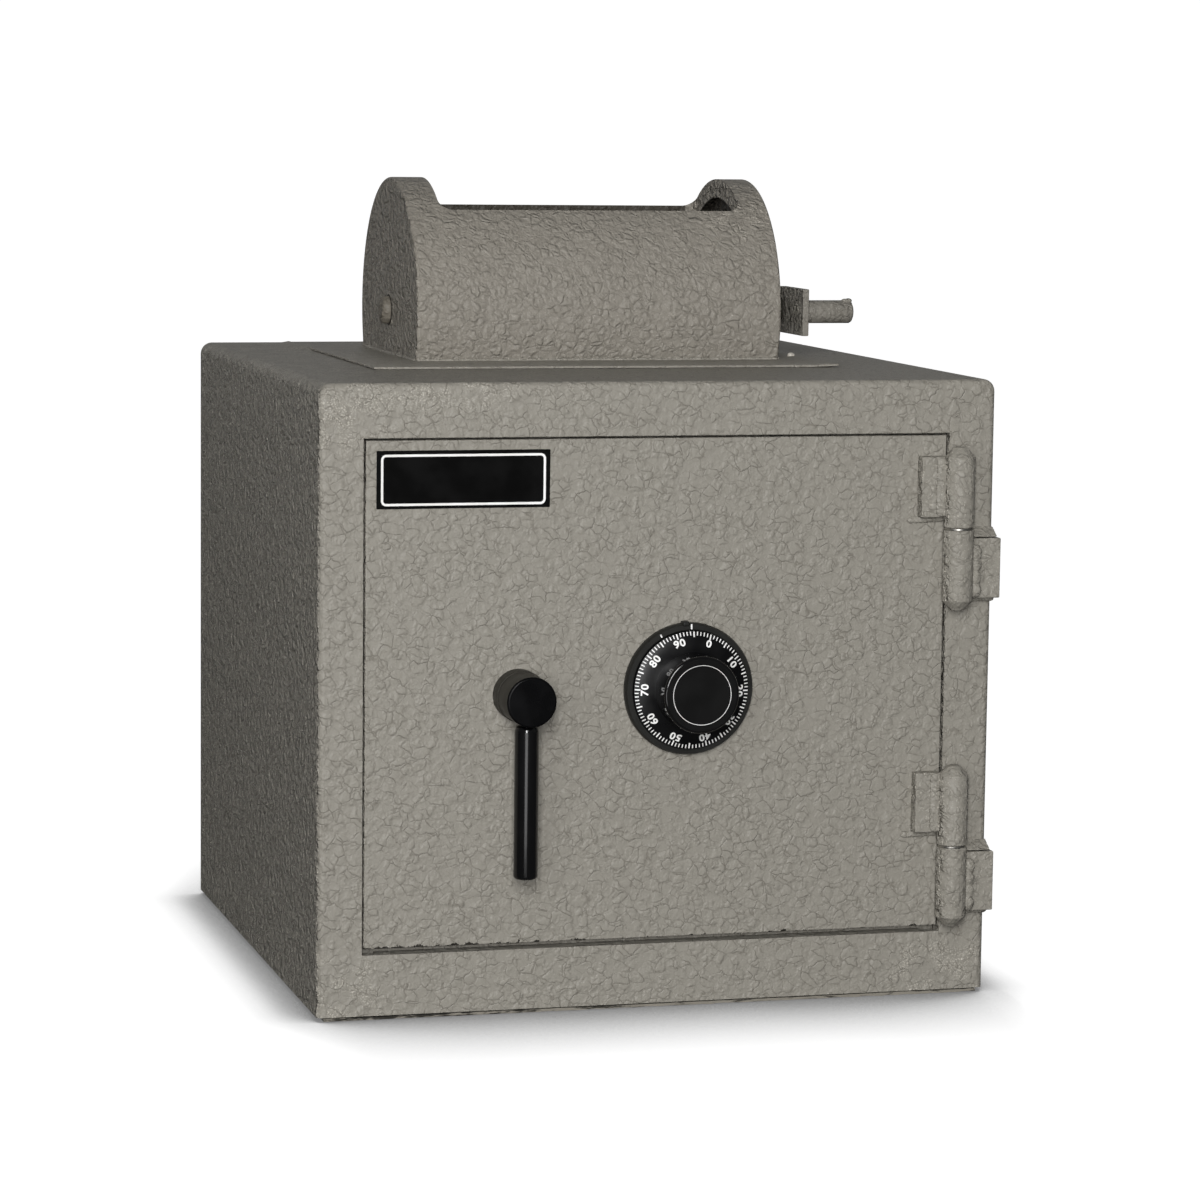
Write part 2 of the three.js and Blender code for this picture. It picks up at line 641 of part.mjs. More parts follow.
function buildCover(safe) {
  const x0 = DOOR_X0 + COVER_IN_LEFT;
  const x1 = DOOR_X1 - COVER_IN_RIGHT;
  const z0 = DOOR_Z0 + COVER_IN_Z;
  const z1 = DOOR_Z1 - COVER_IN_Z;
  const y1 = DOOR_BACK_Y + COVER_DEPTH;
  const t = COVER_T;
  const pan = box(x0, x1, DOOR_BACK_Y, y1, z0, z1);
  const hollow = box(x0 + t, x1 - t, DOOR_BACK_Y - t, y1 - t, z0 + t, z1 - t);
  const holes = boltHeights().map((z) => turnedX(rod(BOLT_R + SLIDE_GAP, x0 - t, x0 + 2 * t))
    .translate(0, BOLT_Y, z));
  piece(safe, 'door_cover', cut(pan, hollow, ...holes), enamel());
}

function boltHeights() {
  return [HANDLE_Z - BOLT_SPREAD, HANDLE_Z + BOLT_SPREAD];
}

// Handle: collar, hub and lever outside, spindle through the door, crank on its inner end
function buildHandle(safe) {
  const axis = group(safe, HANDLE_X, 0, HANDLE_Z);
  const collar = tube(SPINDLE_R + RUN_GAP, COLLAR_R, FACE_Y - COLLAR_L, FACE_Y);
  piece(axis, 'handle_collar', turnedY(collar), enamel());

  const hubY1 = FACE_Y - COLLAR_L - SEAT_GAP;
  const hubY0 = hubY1 - HUB_L;
  const hub = [
    [0, hubY0],
    [HUB_R - HUB_BEVEL, hubY0],
    [HUB_R, hubY0 + HUB_BEVEL],
    [HUB_R, hubY1],
    [0, hubY1],
  ];
  const leverY = FACE_Y - LEVER_OUT;
  const spindleY0 = leverY + LEVER_R + SPINDLE_SHOULDER;
  const socket = turnedZ(rod(LEVER_R + SEAT_GAP, 0, -LEVER_REACH)).translate(0, leverY, 0);
  const spindleBore = turnedY(rod(SPINDLE_R + SEAT_GAP, spindleY0, hubY1 + SPINDLE_SHOULDER), ROUND_SMALL);
  piece(axis, 'handle_hub', cut(turnedY(hub), socket, spindleBore), glossBlack());

  const lever = [
    [0, -SEAT_GAP],
    [LEVER_R, -SEAT_GAP],
    [LEVER_R, -LEVER_REACH + LEVER_BEVEL],
    [LEVER_R - LEVER_BEVEL, -LEVER_REACH],
    [0, -LEVER_REACH],
  ];
  piece(axis, 'handle_lever', turnedZ(lever).translate(0, leverY, 0), glossBlack());

  const spindle = turnedY(rod(SPINDLE_R, spindleY0 + SEAT_GAP, CRANK_Y1), ROUND_SMALL);
  piece(axis, 'handle_spindle', spindle, steel());

  buildSpindleCrank(axis);
}

// The crank's pin starts 45 degrees to the right of straight down and ends 45 degrees to the left
function buildSpindleCrank(axis) {
  const pinX = CRANK_THROW * Math.SQRT1_2;
  const pinZ = -CRANK_THROW * Math.SQRT1_2;
  const pinY1 = BAR_Y1 + BOLT_STOP_GAP;
  const eye = turnedY(rod(CRANK_EYE_R, CRANK_Y0, CRANK_Y1), ROUND_SMALL);
  const tip = turnedY(rod(CRANK_TIP_R, CRANK_Y0, CRANK_Y1), ROUND_SMALL).translate(pinX, 0, pinZ);
  const pin = turnedY(rod(CRANK_PIN_R, CRANK_Y1 - CRANK_T / 2, pinY1), ROUND_SMALL).translate(pinX, 0, pinZ);
  const bore = turnedY(rod(SPINDLE_R + SEAT_GAP, CRANK_Y0 - CRANK_T, CRANK_Y1 + CRANK_T), ROUND_SMALL);
  piece(axis, 'spindle_crank', cut(join(eye, tip, pin), bore), steel());
}

// Bolt bar: beam with the crank slot, an upright to the two bolts, and a foot that the lock blocks
function buildBoltWork(safe) {
  const beamZ0 = HANDLE_Z - BAR_BEAM_H / 2;
  const beamZ1 = HANDLE_Z + BAR_BEAM_H / 2;
  const x0 = UPRIGHT_X0;
  const x1 = x0 + BAR_UPRIGHT_W;
  const low = HANDLE_Z - BAR_UPRIGHT_H / 2;
  const high = HANDLE_Z + BAR_UPRIGHT_H / 2;
  const dropX1 = HANDLE_X + BAR_DROP_X;
  const dropX0 = dropX1 - BAR_DROP_W;
  const lugZ1 = LOCK_Z0 - GUIDE_GAP;
  const footZ1 = LOCK_Z0 - LOCK_TRAVEL - 2 * LOCK_BOLT_OUT;
  const footZ0 = footZ1 - BAR_FOOT_H;
  const lugX0 = DIAL_X + LOCK_BOLT_W / 2 + LUG_CLEAR;
  const lugX1 = lugX0 + LUG_W;
  const outline = polygon([
    [x0, low], [x1, low], [x1, beamZ0], [dropX0, beamZ0], [dropX0, footZ0], [lugX1, footZ0],
    [lugX1, lugZ1], [lugX0, lugZ1], [lugX0, footZ1], [dropX1, footZ1], [dropX1, beamZ1], [x1, beamZ1],
    [x1, high], [x0, high],
  ]);
  const pinX = HANDLE_X + CRANK_THROW * Math.SQRT1_2;
  const reach = CRANK_PIN_R + SLIDE_GAP;
  const slotLow = HANDLE_Z - CRANK_THROW - reach;
  const slotHigh = HANDLE_Z - CRANK_THROW * Math.SQRT1_2 + reach;
  outline.holes.push(polygon([[pinX - reach, slotLow], [pinX - reach, slotHigh], [pinX + reach, slotHigh],
    [pinX + reach, slotLow]]));
  piece(safe, 'bolt_bar', alongY(outline, BAR_Y0, BAR_Y1), zincSteel());

  boltHeights().forEach((z, i) => {
    const bolt = turnedX(rod(BOLT_R, BOLT_X0, x0 - SEAT_GAP)).translate(0, BOLT_Y, z);
    piece(safe, `door_bolt_${i === 0 ? 'lower' : 'upper'}`, bolt, zincSteel());
    const guideX1 = x0 - BOLT_TRAVEL - GUIDE_GAP;
    const block = box(guideX1 - GUIDE_T, guideX1, DOOR_BACK_Y, BOLT_Y + BOLT_R + GUIDE_WALL,
      z - GUIDE_H / 2, z + GUIDE_H / 2);
    const bore = turnedX(rod(BOLT_R + RUN_GAP, guideX1 - 2 * GUIDE_T, guideX1 + GUIDE_T));
    bore.translate(0, BOLT_Y, z);
    piece(safe, `bolt_guide_${i === 0 ? 'lower' : 'upper'}`, cut(block, bore), zincSteel());
  });

  const strapX0 = x1 + GUIDE_GAP;
  const strapZ0 = beamZ0 - SLIDE_GAP;
  const strapZ1 = beamZ1 + SLIDE_GAP;
  const strapX1 = strapX0 + STRAP_W;
  const strapY1 = BAR_Y1 + SLIDE_GAP;
  const t = STRAP_T;
  const outer = box(strapX0, strapX1, DOOR_BACK_Y, strapY1 + t, strapZ0 - t, strapZ1 + t);
  const inner = box(strapX0 - t, strapX1 + t, DOOR_BACK_Y - t, strapY1, strapZ0, strapZ1);
  piece(safe, 'bar_strap', cut(outer, inner), zincSteel());
}

// Combination lock: case and lid on the door, ring outside, bolt and lever inside
function buildLock(safe) {
  const x0 = DIAL_X - LOCK_W / 2;
  const x1 = DIAL_X + LOCK_W / 2;
  const w = LOCK_WALL;
  const block = box(x0, x1, DOOR_BACK_Y, LOCK_Y1, LOCK_Z0, LOCK_Z1);
  const pocket = box(x0 + w, x1 - w, DOOR_BACK_Y + w, LOCK_Y1 + w, LOCK_Z0 + w, LOCK_Z1 - w);
  const half = LOCK_BOLT_W / 2;
  const boltY0 = LOCK_Y1 - LOCK_LID_T - LOCK_BOLT_T;
  const boltY1 = boltY0 + LOCK_BOLT_T;
  const out = half + RUN_GAP;
  const exitZ1 = LOCK_Z0 + 2 * w;
  const exit = box(DIAL_X - out, DIAL_X + out, boltY0 - RUN_GAP, boltY1 + RUN_GAP, LOCK_Z0 - w, exitZ1);
  const bore = turnedY(rod(DIAL_SPINDLE_R + RUN_GAP, DOOR_BACK_Y - w, DOOR_BACK_Y + 2 * w), ROUND_SMALL)
    .translate(DIAL_X, 0, DIAL_Z);
  piece(safe, 'lock_case', cut(block, pocket, exit, bore), castZinc());

  const lid = box(x0, x1, LOCK_Y1, LOCK_Y1 + LOCK_LID_T, LOCK_Z0, LOCK_Z1);
  piece(safe, 'lock_lid', lid, castZinc());

  const boltZ0 = LOCK_Z0 - LOCK_BOLT_OUT;
  const bolt = box(DIAL_X - half, DIAL_X + half, boltY0, boltY1, boltZ0, boltZ0 + LOCK_BOLT_L);
  piece(safe, 'lock_bolt', bolt, brass());

  buildLever(safe, boltY0, boltZ0 + LOCK_BOLT_L);
  buildWheelPack(safe);
}

// The lever rides on the bolt and carries the fence beside the wheels
function buildLever(safe, boltY0, boltZ1) {
  const half = LOCK_BOLT_W / 2;
  const y1 = boltY0 - SEAT_GAP;
  const y0 = y1 - LEVER_ARM_T;
  const outX = DIAL_X + WHEEL_R + FENCE_CLEAR;
  const w = LEVER_ARM_W;
  const top = DIAL_Z + w / 2;
  const foot = boltZ1 - 3 * w;
  const outline = polygon([
    [DIAL_X - half, foot], [DIAL_X + half, foot], [outX + w, foot + 4 * w], [outX + w, top], [outX, top],
    [outX, foot + 5 * w], [DIAL_X + half, foot + 2.5 * w], [DIAL_X - half, foot + 2.5 * w],
  ]);
  const fenceY0 = y0 + LEVER_ARM_T / 2;
  const fence = box(outX, outX + w, fenceY0, LOCK_Y1 - FENCE_LID_GAP, top - 2 * w, top);
  piece(safe, 'lock_lever', join(alongY(outline, y0, y1), fence), brass());
}

// Cam on the dial spindle, then three gated wheels that turn on the lid's post
function buildWheelPack(safe) {
  const axis = group(safe, DIAL_X, 0, DIAL_Z);
  const camY0 = DOOR_BACK_Y + LOCK_WALL + SLIDE_GAP;
  const camY1 = camY0 + CAM_T;
  const half = GATE_W / 2;
  const gate = (r, y0, y1) => box(r - CAM_NOTCH, r + CAM_NOTCH, y0 - half, y1 + half, -half, half);

  const camDisc = turnedY(tube(DIAL_SPINDLE_R + SEAT_GAP, CAM_R, camY0, camY1));
  piece(axis, 'drive_cam', cut(camDisc, gate(CAM_R, camY0, camY1)), brass());

  let y = camY1 + WHEEL_GAP;
  for (let i = 1; i <= WHEEL_COUNT; i += 1) {
    const disc = turnedY(tube(POST_R + RUN_GAP, WHEEL_R, y, y + WHEEL_T));
    piece(axis, `lock_wheel_${i}`, cut(disc, gate(WHEEL_R, y, y + WHEEL_T)), brass());
    y += WHEEL_T + WHEEL_GAP;
  }

  const postY0 = camY1 + WHEEL_GAP;
  const post = tube(DIAL_SPINDLE_R + RUN_GAP, POST_R, postY0, LOCK_Y1);
  piece(axis, 'wheel_post', turnedY(post, ROUND_SMALL), castZinc());
  buildDial(axis, camY1);
}

// Dial: fixed ring on the door, and the turning dial with its knob and spindle
function buildDial(axis, spindleEnd) {
  const ringY0 = FACE_Y - RING_T;
  const ringBore = DIAL_SPINDLE_R + RUN_GAP;
  const ring = [
    [ringBore, FACE_Y],
    [ringBore, ringY0 + RING_STEP],
    [RING_FACE_R, ringY0 + RING_STEP],
    [RING_FACE_R, ringY0],
    [RING_R - RING_BEVEL_W, ringY0],
    [RING_R, ringY0 + RING_BEVEL_T],
    [RING_R, FACE_Y],
    [ringBore, FACE_Y],
  ];
  piece(axis, 'dial_ring', turnedY(ring, ROUND_FINE), glossBlack());

  const backY = ringY0 + RING_STEP - DIAL_RING_GAP;
  const socketY = backY - DIAL_SOCKET;
  const dial = [
    [0, FACE_Y - KNOB_OUT],
    [KNOB_R - KNOB_BEVEL, FACE_Y - KNOB_OUT],
    [KNOB_R, FACE_Y - KNOB_OUT + KNOB_BEVEL],
    [KNOB_R, FACE_Y - DIAL_CONE_OUT],
    [DIAL_R, FACE_Y - DIAL_EDGE_OUT],
    [DIAL_R, backY],
    [DIAL_SPINDLE_R + SEAT_GAP, backY],
    [DIAL_SPINDLE_R + SEAT_GAP, socketY],
    [0, socketY],
  ];
  piece(axis, 'dial_knob', turnedY(dial, ROUND_FINE), glossBlack());

  const spindle = rod(DIAL_SPINDLE_R, socketY + SEAT_GAP, spindleEnd);
  piece(axis, 'dial_spindle', turnedY(spindle, ROUND_SMALL), steel());
}

const safe = new THREE.Group();
buildBody(safe);
buildHousing(safe);
buildDrum(safe);
buildDoor(safe);
buildHinge(safe, 'lower', HINGE_Z_LOW);
buildHinge(safe, 'upper', HINGE_Z_HIGH);
buildHandle(safe);
buildBoltWork(safe);
buildLock(safe);

export default safe;
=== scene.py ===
# %% [markdown]
# # A rotary hopper safe
#
# This lesson dresses the engineering model of a small floor safe. The model gives every part its size
# and place, and this script gives each part the rounded edges, welds, paint and wear that make it look
# real. Lengths in the lesson are written in millimetres and turned into Blender's metres with MM.
#
# The first step loads the engineering model as a frame that stays where it is.

import math

import bmesh
import bpy
from mathutils import Matrix, Vector


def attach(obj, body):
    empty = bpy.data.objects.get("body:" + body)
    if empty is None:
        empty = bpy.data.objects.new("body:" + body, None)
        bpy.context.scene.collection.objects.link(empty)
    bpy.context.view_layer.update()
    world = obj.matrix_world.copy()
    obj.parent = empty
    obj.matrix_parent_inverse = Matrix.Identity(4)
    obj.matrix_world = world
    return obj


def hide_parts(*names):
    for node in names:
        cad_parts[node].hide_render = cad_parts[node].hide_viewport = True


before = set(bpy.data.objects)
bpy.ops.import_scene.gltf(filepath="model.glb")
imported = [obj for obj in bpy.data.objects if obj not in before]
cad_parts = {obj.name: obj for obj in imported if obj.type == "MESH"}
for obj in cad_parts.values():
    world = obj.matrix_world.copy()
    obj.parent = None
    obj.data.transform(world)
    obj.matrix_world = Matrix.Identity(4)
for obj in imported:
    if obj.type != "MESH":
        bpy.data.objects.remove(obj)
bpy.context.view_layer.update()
MM = 0.001
print("nodes in the frame:", len(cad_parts))

# %% [markdown]
# ## Where the viewer stands
#
# The viewer stands in front and a little to the left, slightly above the top of the safe. A long lens
# keeps the sides nearly parallel. The angles were worked out from the object's own straight edges. A
# camera can be aimed with a constraint, but three written angles are exact and easy to change.

# %% Camera
CAMERA_PLACE = (-0.7152, -2.6932, 0.5738)
CAMERA_TURN = math.radians(-15.237)
CAMERA_TILT = math.radians(6.872)
CAMERA_ROLL = math.radians(0.684)
LENS = 122.418


def seen_from(turn, tilt):
    """The direction from the object towards something at this turn and tilt."""
    return Vector((math.sin(turn) * math.cos(tilt), -math.cos(turn) * math.cos(tilt), math.sin(tilt)))


back = seen_from(CAMERA_TURN, CAMERA_TILT)
level = (-back).cross(Vector((0, 0, 1))).normalized()
upright = level.cross(-back)
across = math.cos(CAMERA_ROLL) * level + math.sin(CAMERA_ROLL) * upright
upward = math.cos(CAMERA_ROLL) * upright - math.sin(CAMERA_ROLL) * level
aim = Matrix((across, upward, back)).transposed()
bpy.ops.object.camera_add(location=CAMERA_PLACE, rotation=aim.to_euler())
camera = bpy.context.object
camera.data.lens = LENS
camera.data.sensor_width = 36
bpy.context.scene.camera = camera
bpy.context.scene.view_settings.view_transform = "Standard"
print("camera at", tuple(round(value, 3) for value in camera.location))

# %% [markdown]
# ## Nodes and colours
#
# Every finish here is a small tree of nodes. One helper adds a node, sets its options, plugs in its
# inputs and hands back one of its outputs, so that a finish reads from top to bottom. Colours are
# written as the eye sees them, in sRGB hexadecimal, and turned into the linear values that a shader
# works with. Sizes of patterns are written in millimetres.

# %% Helpers for finishes
SOFT = {"interpolation_type": "SMOOTHSTEP"}
IN_COLOUR = {"data_type": "RGBA"}
PLUS = {"operation": "ADD"}
MINUS = {"operation": "SUBTRACT"}
TIMES = {"operation": "MULTIPLY"}
LARGER = {"operation": "MAXIMUM"}
UNSIGNED = {"operation": "ABSOLUTE"}


def srgb(code):
    """A colour such as 8F8A82 as linear red, green, blue and an alpha of one."""
    parts = [int(code[place:place + 2], 16) / 255 for place in (0, 2, 4)]
    linear = [part / 12.92 if part <= 0.04045 else ((part + 0.055) / 1.055) ** 2.4 for part in parts]
    return (*linear, 1.0)


def tinted(colour, share, lift=0.0):
    """The same colour made lighter or darker."""
    return (*(min(1.0, part * share + lift) for part in colour[:3]), 1.0)


def node(tree, kind, inputs=(), output=0, **options):
    """Adds a node and gives one output. Inputs are values or outputs, in order or under their names."""
    made = tree.nodes.new("ShaderNode" + kind)
    for name, value in options.items():
        setattr(made, name, value)
    named = inputs if isinstance(inputs, dict) else dict(enumerate(inputs))
    for key, value in named.items():
        if isinstance(value, bpy.types.NodeSocket):
            tree.links.new(value, made.inputs[key])
        else:
            made.inputs[key].default_value = value
    return made.outputs[output]


def lumps(place, size_mm, detail=2.0, rough=0.5):
    """The inputs of a cloudy noise whose lumps are about size_mm across."""
    return {"Vector": place, "Scale": 1 / (size_mm * MM), "Detail": detail, "Roughness": rough}


def finish(name, roughness, specular, metallic=0.0):
    """A new material with one shader, and the place of each point in the object's own axes."""
    made = bpy.data.materials.new(name)
    made.use_nodes = True
    shader = made.node_tree.nodes["Principled BSDF"]
    shader.inputs["Roughness"].default_value = roughness
    shader.inputs["Specular IOR Level"].default_value = specular
    shader.inputs["Metallic"].default_value = metallic
    return made, made.node_tree, shader, node(made.node_tree, "TexCoord", output="Object")


print("8F8A82 in linear light:", [round(part, 3) for part in srgb("8F8A82")[:3]])

# %% [markdown]
# ## The crinkle enamel
#
# The whole case is sprayed with one warm grey enamel that shrinks as it dries. It pulls into flat scales
# a few millimetres wide, with thin wandering creases between them that come and go. A photograph could
# be wrapped round the case, but a pattern made of nodes needs no picture and has no seams.
#
# Voronoi cells give the scales. Two noises push their borders about, a coarse one that bends them and a
# fine one that makes them waver, and a third noise rubs some of them out. Each cell also gets a height of
# its own, so that one scale seems to lie over the next. The borders are painted darker as well, which is
# painted shade in the creases, and small bright specks are painted glints. Light only skims the faces that
# look left or right, so their relief is set deeper and their painted glints are brighter. Where hands and
# shoes rub the corners, more painted glints stand for the polished tops of the scales.

# %% Scales and specks
SCALE_MM = 8.5
SCALE_FLAT = 1.3
SCALE_LEAN = math.radians(18)
BEND = (9.0, 8.0)
WAVER = (2.5, 1.7)
# The real glints are smaller. These painted glints are drawn as coarse as they need to be to show.
SPECK_MM = 1.1
RUBBED_MM = 14.0
SIDE_DENT = 1.1
SIDE_SPECKLE = 0.9
# Painted shade: the colour drawn along the creases between the scales.
CREASE_SHADE_COLOUR = srgb("5A544A")


def shaken(tree, place, size_mm, reach_mm):
    """Moves every point by a noise whose lumps are size_mm across."""
    push = node(tree, "TexNoise", lumps(place, size_mm, 1.0), "Color")
    push = node(tree, "VectorMath", (push, (0.5, 0.5, 0.5)), **MINUS)
    push = node(tree, "VectorMath", {0: push, "Scale": reach_mm * MM}, operation="SCALE")
    return node(tree, "VectorMath", (place, push), **PLUS)


def patches(tree, place, size_mm, start, full, least=0.0, most=1.0, detail=2.0, rough=0.5):
    """Cloudy patches about size_mm across, from least to most of something."""
    cloud = node(tree, "TexNoise", lumps(place, size_mm, detail, rough))
    return node(tree, "MapRange", (cloud, start, full, least, most), **SOFT)


def scales(tree, place, size_mm):
    """Leaning cells, wider than tall: the way to the nearest border in mm, and a height for each cell."""
    lean = {"Vector": place, "Rotation": (0, SCALE_LEAN, 0), "Scale": (1.0, 1.0, 1 / SCALE_FLAT)}
    cells = {"Vector": node(tree, "Mapping", lean, vector_type="TEXTURE"), "Scale": 1 / (size_mm * MM)}
    edge = node(tree, "TexVoronoi", cells, "Distance", feature="DISTANCE_TO_EDGE")
    height = node(tree, "SeparateColor", [node(tree, "TexVoronoi", cells, "Color")])
    return node(tree, "Math", (edge, size_mm), **TIMES), height


def bright_specks(tree, place, sideways, speckle, rubbed_glints):
    """How much of the painted glint colour shows. Each rubbed place with more painted glints is a range of
    height and one of X.
    """
    fine = node(tree, "TexNoise", lumps(place, SPECK_MM, 1.0))
    share = node(tree, "MapRange", (sideways, 0.0, 1.0, speckle, max(speckle, SIDE_SPECKLE)), **SOFT)
    speck = node(tree, "Math", (fine, node(tree, "Math", (sideways, 0.06), **TIMES)), **PLUS)
    speck = node(tree, "MapRange", (speck, 0.63, 0.76, 0.0, share), **SOFT)
    parts = node(tree, "SeparateXYZ", [place]).node.outputs
    rubbed = patches(tree, place, RUBBED_MM, 0.40, 0.62, detail=1.0)
    for heights, sides in rubbed_glints:
        high = node(tree, "MapRange", (parts["Z"], *heights), **SOFT)
        near = node(tree, "MapRange", (parts["X"], *sides, 0.15, 1.0), **SOFT)
        share = node(tree, "Math", (node(tree, "Math", (high, near), **TIMES), rubbed), **TIMES)
        more = node(tree, "Math", (node(tree, "MapRange", (fine, 0.53, 0.64), **SOFT), share), **TIMES)
        speck = node(tree, "Math", (speck, node(tree, "Math", (more, 0.5), **TIMES)), **LARGER)
    return speck


print("scales", SCALE_MM, "mm wide, specks", SPECK_MM, "mm")


# %% Enamel
def crinkle_enamel(name, colour, crease=0.42, speckle=0.12, scale_mm=SCALE_MM, dent=0.3,
                   side_dent=SIDE_DENT, lip_mm=1.0, least=0.2, rubbed_glints=()):
    """Warm grey enamel that dried in scales, with painted shade in its creases and painted glints as small
    bright specks.
    """
    made, tree, shader, place = finish(name, 0.48, 0.25)
    across = node(tree, "SeparateXYZ", [node(tree, "TexCoord", output="Normal")])
    sideways = node(tree, "MapRange", (node(tree, "Math", [across], **UNSIGNED), 0.7, 0.97), **SOFT)
    way, step = scales(tree, shaken(tree, shaken(tree, place, *BEND), *WAVER), scale_mm)
    kept = patches(tree, place, 7.0, 0.36, 0.64, least, 1.0)
    thick = patches(tree, place, 4.0, 0.35, 0.65, 0.3, 0.75, 1.0)
    line = node(tree, "Math", (way, thick), operation="DIVIDE")
    line = node(tree, "MapRange", (line, 0.0, 1.0, 1.0, 0.0), **SOFT)
    line = node(tree, "Math", (line, kept), **TIMES)
    # Painted shade: the creases are drawn darker.
    crease_shade = node(tree, "Math", (line, crease), **TIMES)
    cloud = patches(tree, place, 3.0, 0.3, 0.7, detail=4.0, rough=0.6)
    shade = node(tree, "Mix", {0: cloud, 6: tinted(colour, 0.96), 7: colour}, 2, **IN_COLOUR)
    shade = node(tree, "Mix", {0: crease_shade, 6: shade, 7: CREASE_SHADE_COLOUR}, 2, **IN_COLOUR)
    # Painted highlight: glints drawn in a much lighter copy of the colour.
    speck = bright_specks(tree, place, sideways, speckle, rubbed_glints)
    shade = node(tree, "Mix", {0: speck, 6: shade, 7: tinted(colour, 2.3)}, 2, **IN_COLOUR)
    tree.links.new(shade, shader.inputs["Base Color"])
    rise = node(tree, "MapRange", (way, 0.0, lip_mm), **SOFT)
    rise = node(tree, "Math", (rise, lip_mm), **TIMES)
    rise = node(tree, "Math", (rise, node(tree, "Math", (step, 2.2), **TIMES)), **PLUS)
    rise = node(tree, "Math", (rise, kept), **TIMES)
    swell = node(tree, "Math", (node(tree, "TexNoise", lumps(place, 3.5)), 1.3), **TIMES)
    rise = node(tree, "Math", (rise, swell), **PLUS)
    depth = node(tree, "MapRange", (sideways, 0.0, 1.0, dent * MM, side_dent * MM), **SOFT)
    bump = {"Strength": 1.0, "Distance": depth, "Height": rise}
    tree.links.new(node(tree, "Bump", bump), shader.inputs["Normal"])
    return made


ENAMEL_COLOUR = srgb("949087")
# Painted shade: the hood and drum take a copy of the case enamel drawn a little darker.
HOOD_SHADED_GREY = srgb("8F8A81")
# Rubbed places, each a range of height and one of X, where more painted glints are drawn.
CASE_RUBBED_GLINTS = ((0.372, 0.400), (-0.02, -0.17))
CORNER_RUBBED_GLINTS = ((0.350, 0.372), (-0.165, -0.195))
FOOT_RUBBED_GLINTS = ((0.050, 0.030), (-0.175, -0.200))
RIGHT_RUBBED_GLINTS = ((0.042, 0.026), (0.150, 0.172))
HOOD_RUBBED_GLINTS = ((0.466, 0.490), (0.075, 0.100))
DEEP_RELIEF = {"scale_mm": 7.0, "crease": 0.3, "speckle": 0.3, "dent": 0.42, "lip_mm": 1.6, "least": 0.35}
SOFT_RELIEF = {"scale_mm": 6.0, "crease": 0.3, "speckle": 0.5}

# Sprayed enamel: dull light with a faint sheen on every scale, so that the flat faces look like hide.
case_enamel = crinkle_enamel(
    "case_enamel", ENAMEL_COLOUR, rubbed_glints=(CASE_RUBBED_GLINTS, CORNER_RUBBED_GLINTS, FOOT_RUBBED_GLINTS, RIGHT_RUBBED_GLINTS))
side_enamel = crinkle_enamel(
    "side_enamel", ENAMEL_COLOUR, speckle=0.6, crease=0.6, scale_mm=7.0, least=0.5, rubbed_glints=(CASE_RUBBED_GLINTS,))
hood_enamel = crinkle_enamel("hood_enamel", HOOD_SHADED_GREY, **DEEP_RELIEF, rubbed_glints=(HOOD_RUBBED_GLINTS,))
fitting_enamel = crinkle_enamel("fitting_enamel", ENAMEL_COLOUR, **SOFT_RELIEF)
crank_enamel = crinkle_enamel("crank_enamel", srgb("8A867E"), **SOFT_RELIEF, side_dent=0.6)
stub_enamel = crinkle_enamel("stub_enamel", srgb("716C62"), **SOFT_RELIEF, side_dent=0.6)
print("enamels:", len([made for made in bpy.data.materials if made.name.endswith("_enamel")]))

# %% [markdown]
# The drum's hollow and the mouth's rear lip are painted dark, as painted shade, which matters to the eye
# because the mouth then reads as a deep hole. One mask measures how far each point lies from the drum's
# axis, the other how far back it lies. A second material on chosen faces would do as well, but a mask
# survives any carving.

# %% Dark inside
HOPPER_Y = 53.0
AXIS_Z = 434.75
MOUTH_REAR = 109.7
HOLLOW_R = 77.8


def darken(made, mask, code):
    """Turns a finish's colour to another one where the mask is one."""
    tree = made.node_tree
    colour = tree.nodes["Principled BSDF"].inputs["Base Color"]
    old = colour.links[0].from_socket
    tree.links.new(node(tree, "Mix", {0: mask, 6: old, 7: srgb(code)}, 2, **IN_COLOUR), colour)


def near_axis(tree, radius_mm):
    """One wherever the hopper's axis is nearer than the radius."""
    place = node(tree, "TexCoord", output="Object")
    arm = node(tree, "VectorMath", (place, (0, HOPPER_Y * MM, AXIS_Z * MM)), **MINUS)
    flat = node(tree, "VectorMath", (arm, (0, 1, 1)), **TIMES)
    far = node(tree, "VectorMath", [flat], "Value", operation="LENGTH")
    return node(tree, "MapRange", (far, (radius_mm + 1.2) * MM, radius_mm * MM), **SOFT)


def near_back(tree, y_mm):
    """One on a thin slice at this distance back."""
    depth = node(tree, "SeparateXYZ", [node(tree, "TexCoord", output="Object")], "Y")
    off = node(tree, "Math", [node(tree, "Math", (depth, y_mm * MM), **MINUS)], **UNSIGNED)
    return node(tree, "MapRange", (off, 0.6 * MM, 0.3 * MM), **SOFT)


drum_enamel = crinkle_enamel("drum_enamel", HOOD_SHADED_GREY, **DEEP_RELIEF)
# Painted shade: the drum's hollow is drawn dark inside this radius.
darken(drum_enamel, near_axis(drum_enamel.node_tree, HOLLOW_R), "3C3832")
# Painted shade: a thin dark slice on the mouth's rear lip.
darken(hood_enamel, near_back(hood_enamel.node_tree, MOUTH_REAR), "4A463F")
print("the drum is dark inside a radius of", HOLLOW_R, "mm")

# %% [markdown]
# ## Chipped paint on the door's lower edge
#
# The door has scraped over its sill for years, so the enamel along its lowest few millimetres is broken
# down to dark metal, mostly towards the left. The chips could be modelled, but they are thinner than a
# sheet of paper. A mask in the material is enough: it compares the height above the edge with a noise,
# and lets the noise reach higher where the door scrapes most.

# %% Door enamel
DOOR_LOW = 46.0
CHIP_REACH = 12.0
CHIP_MM = 5.0


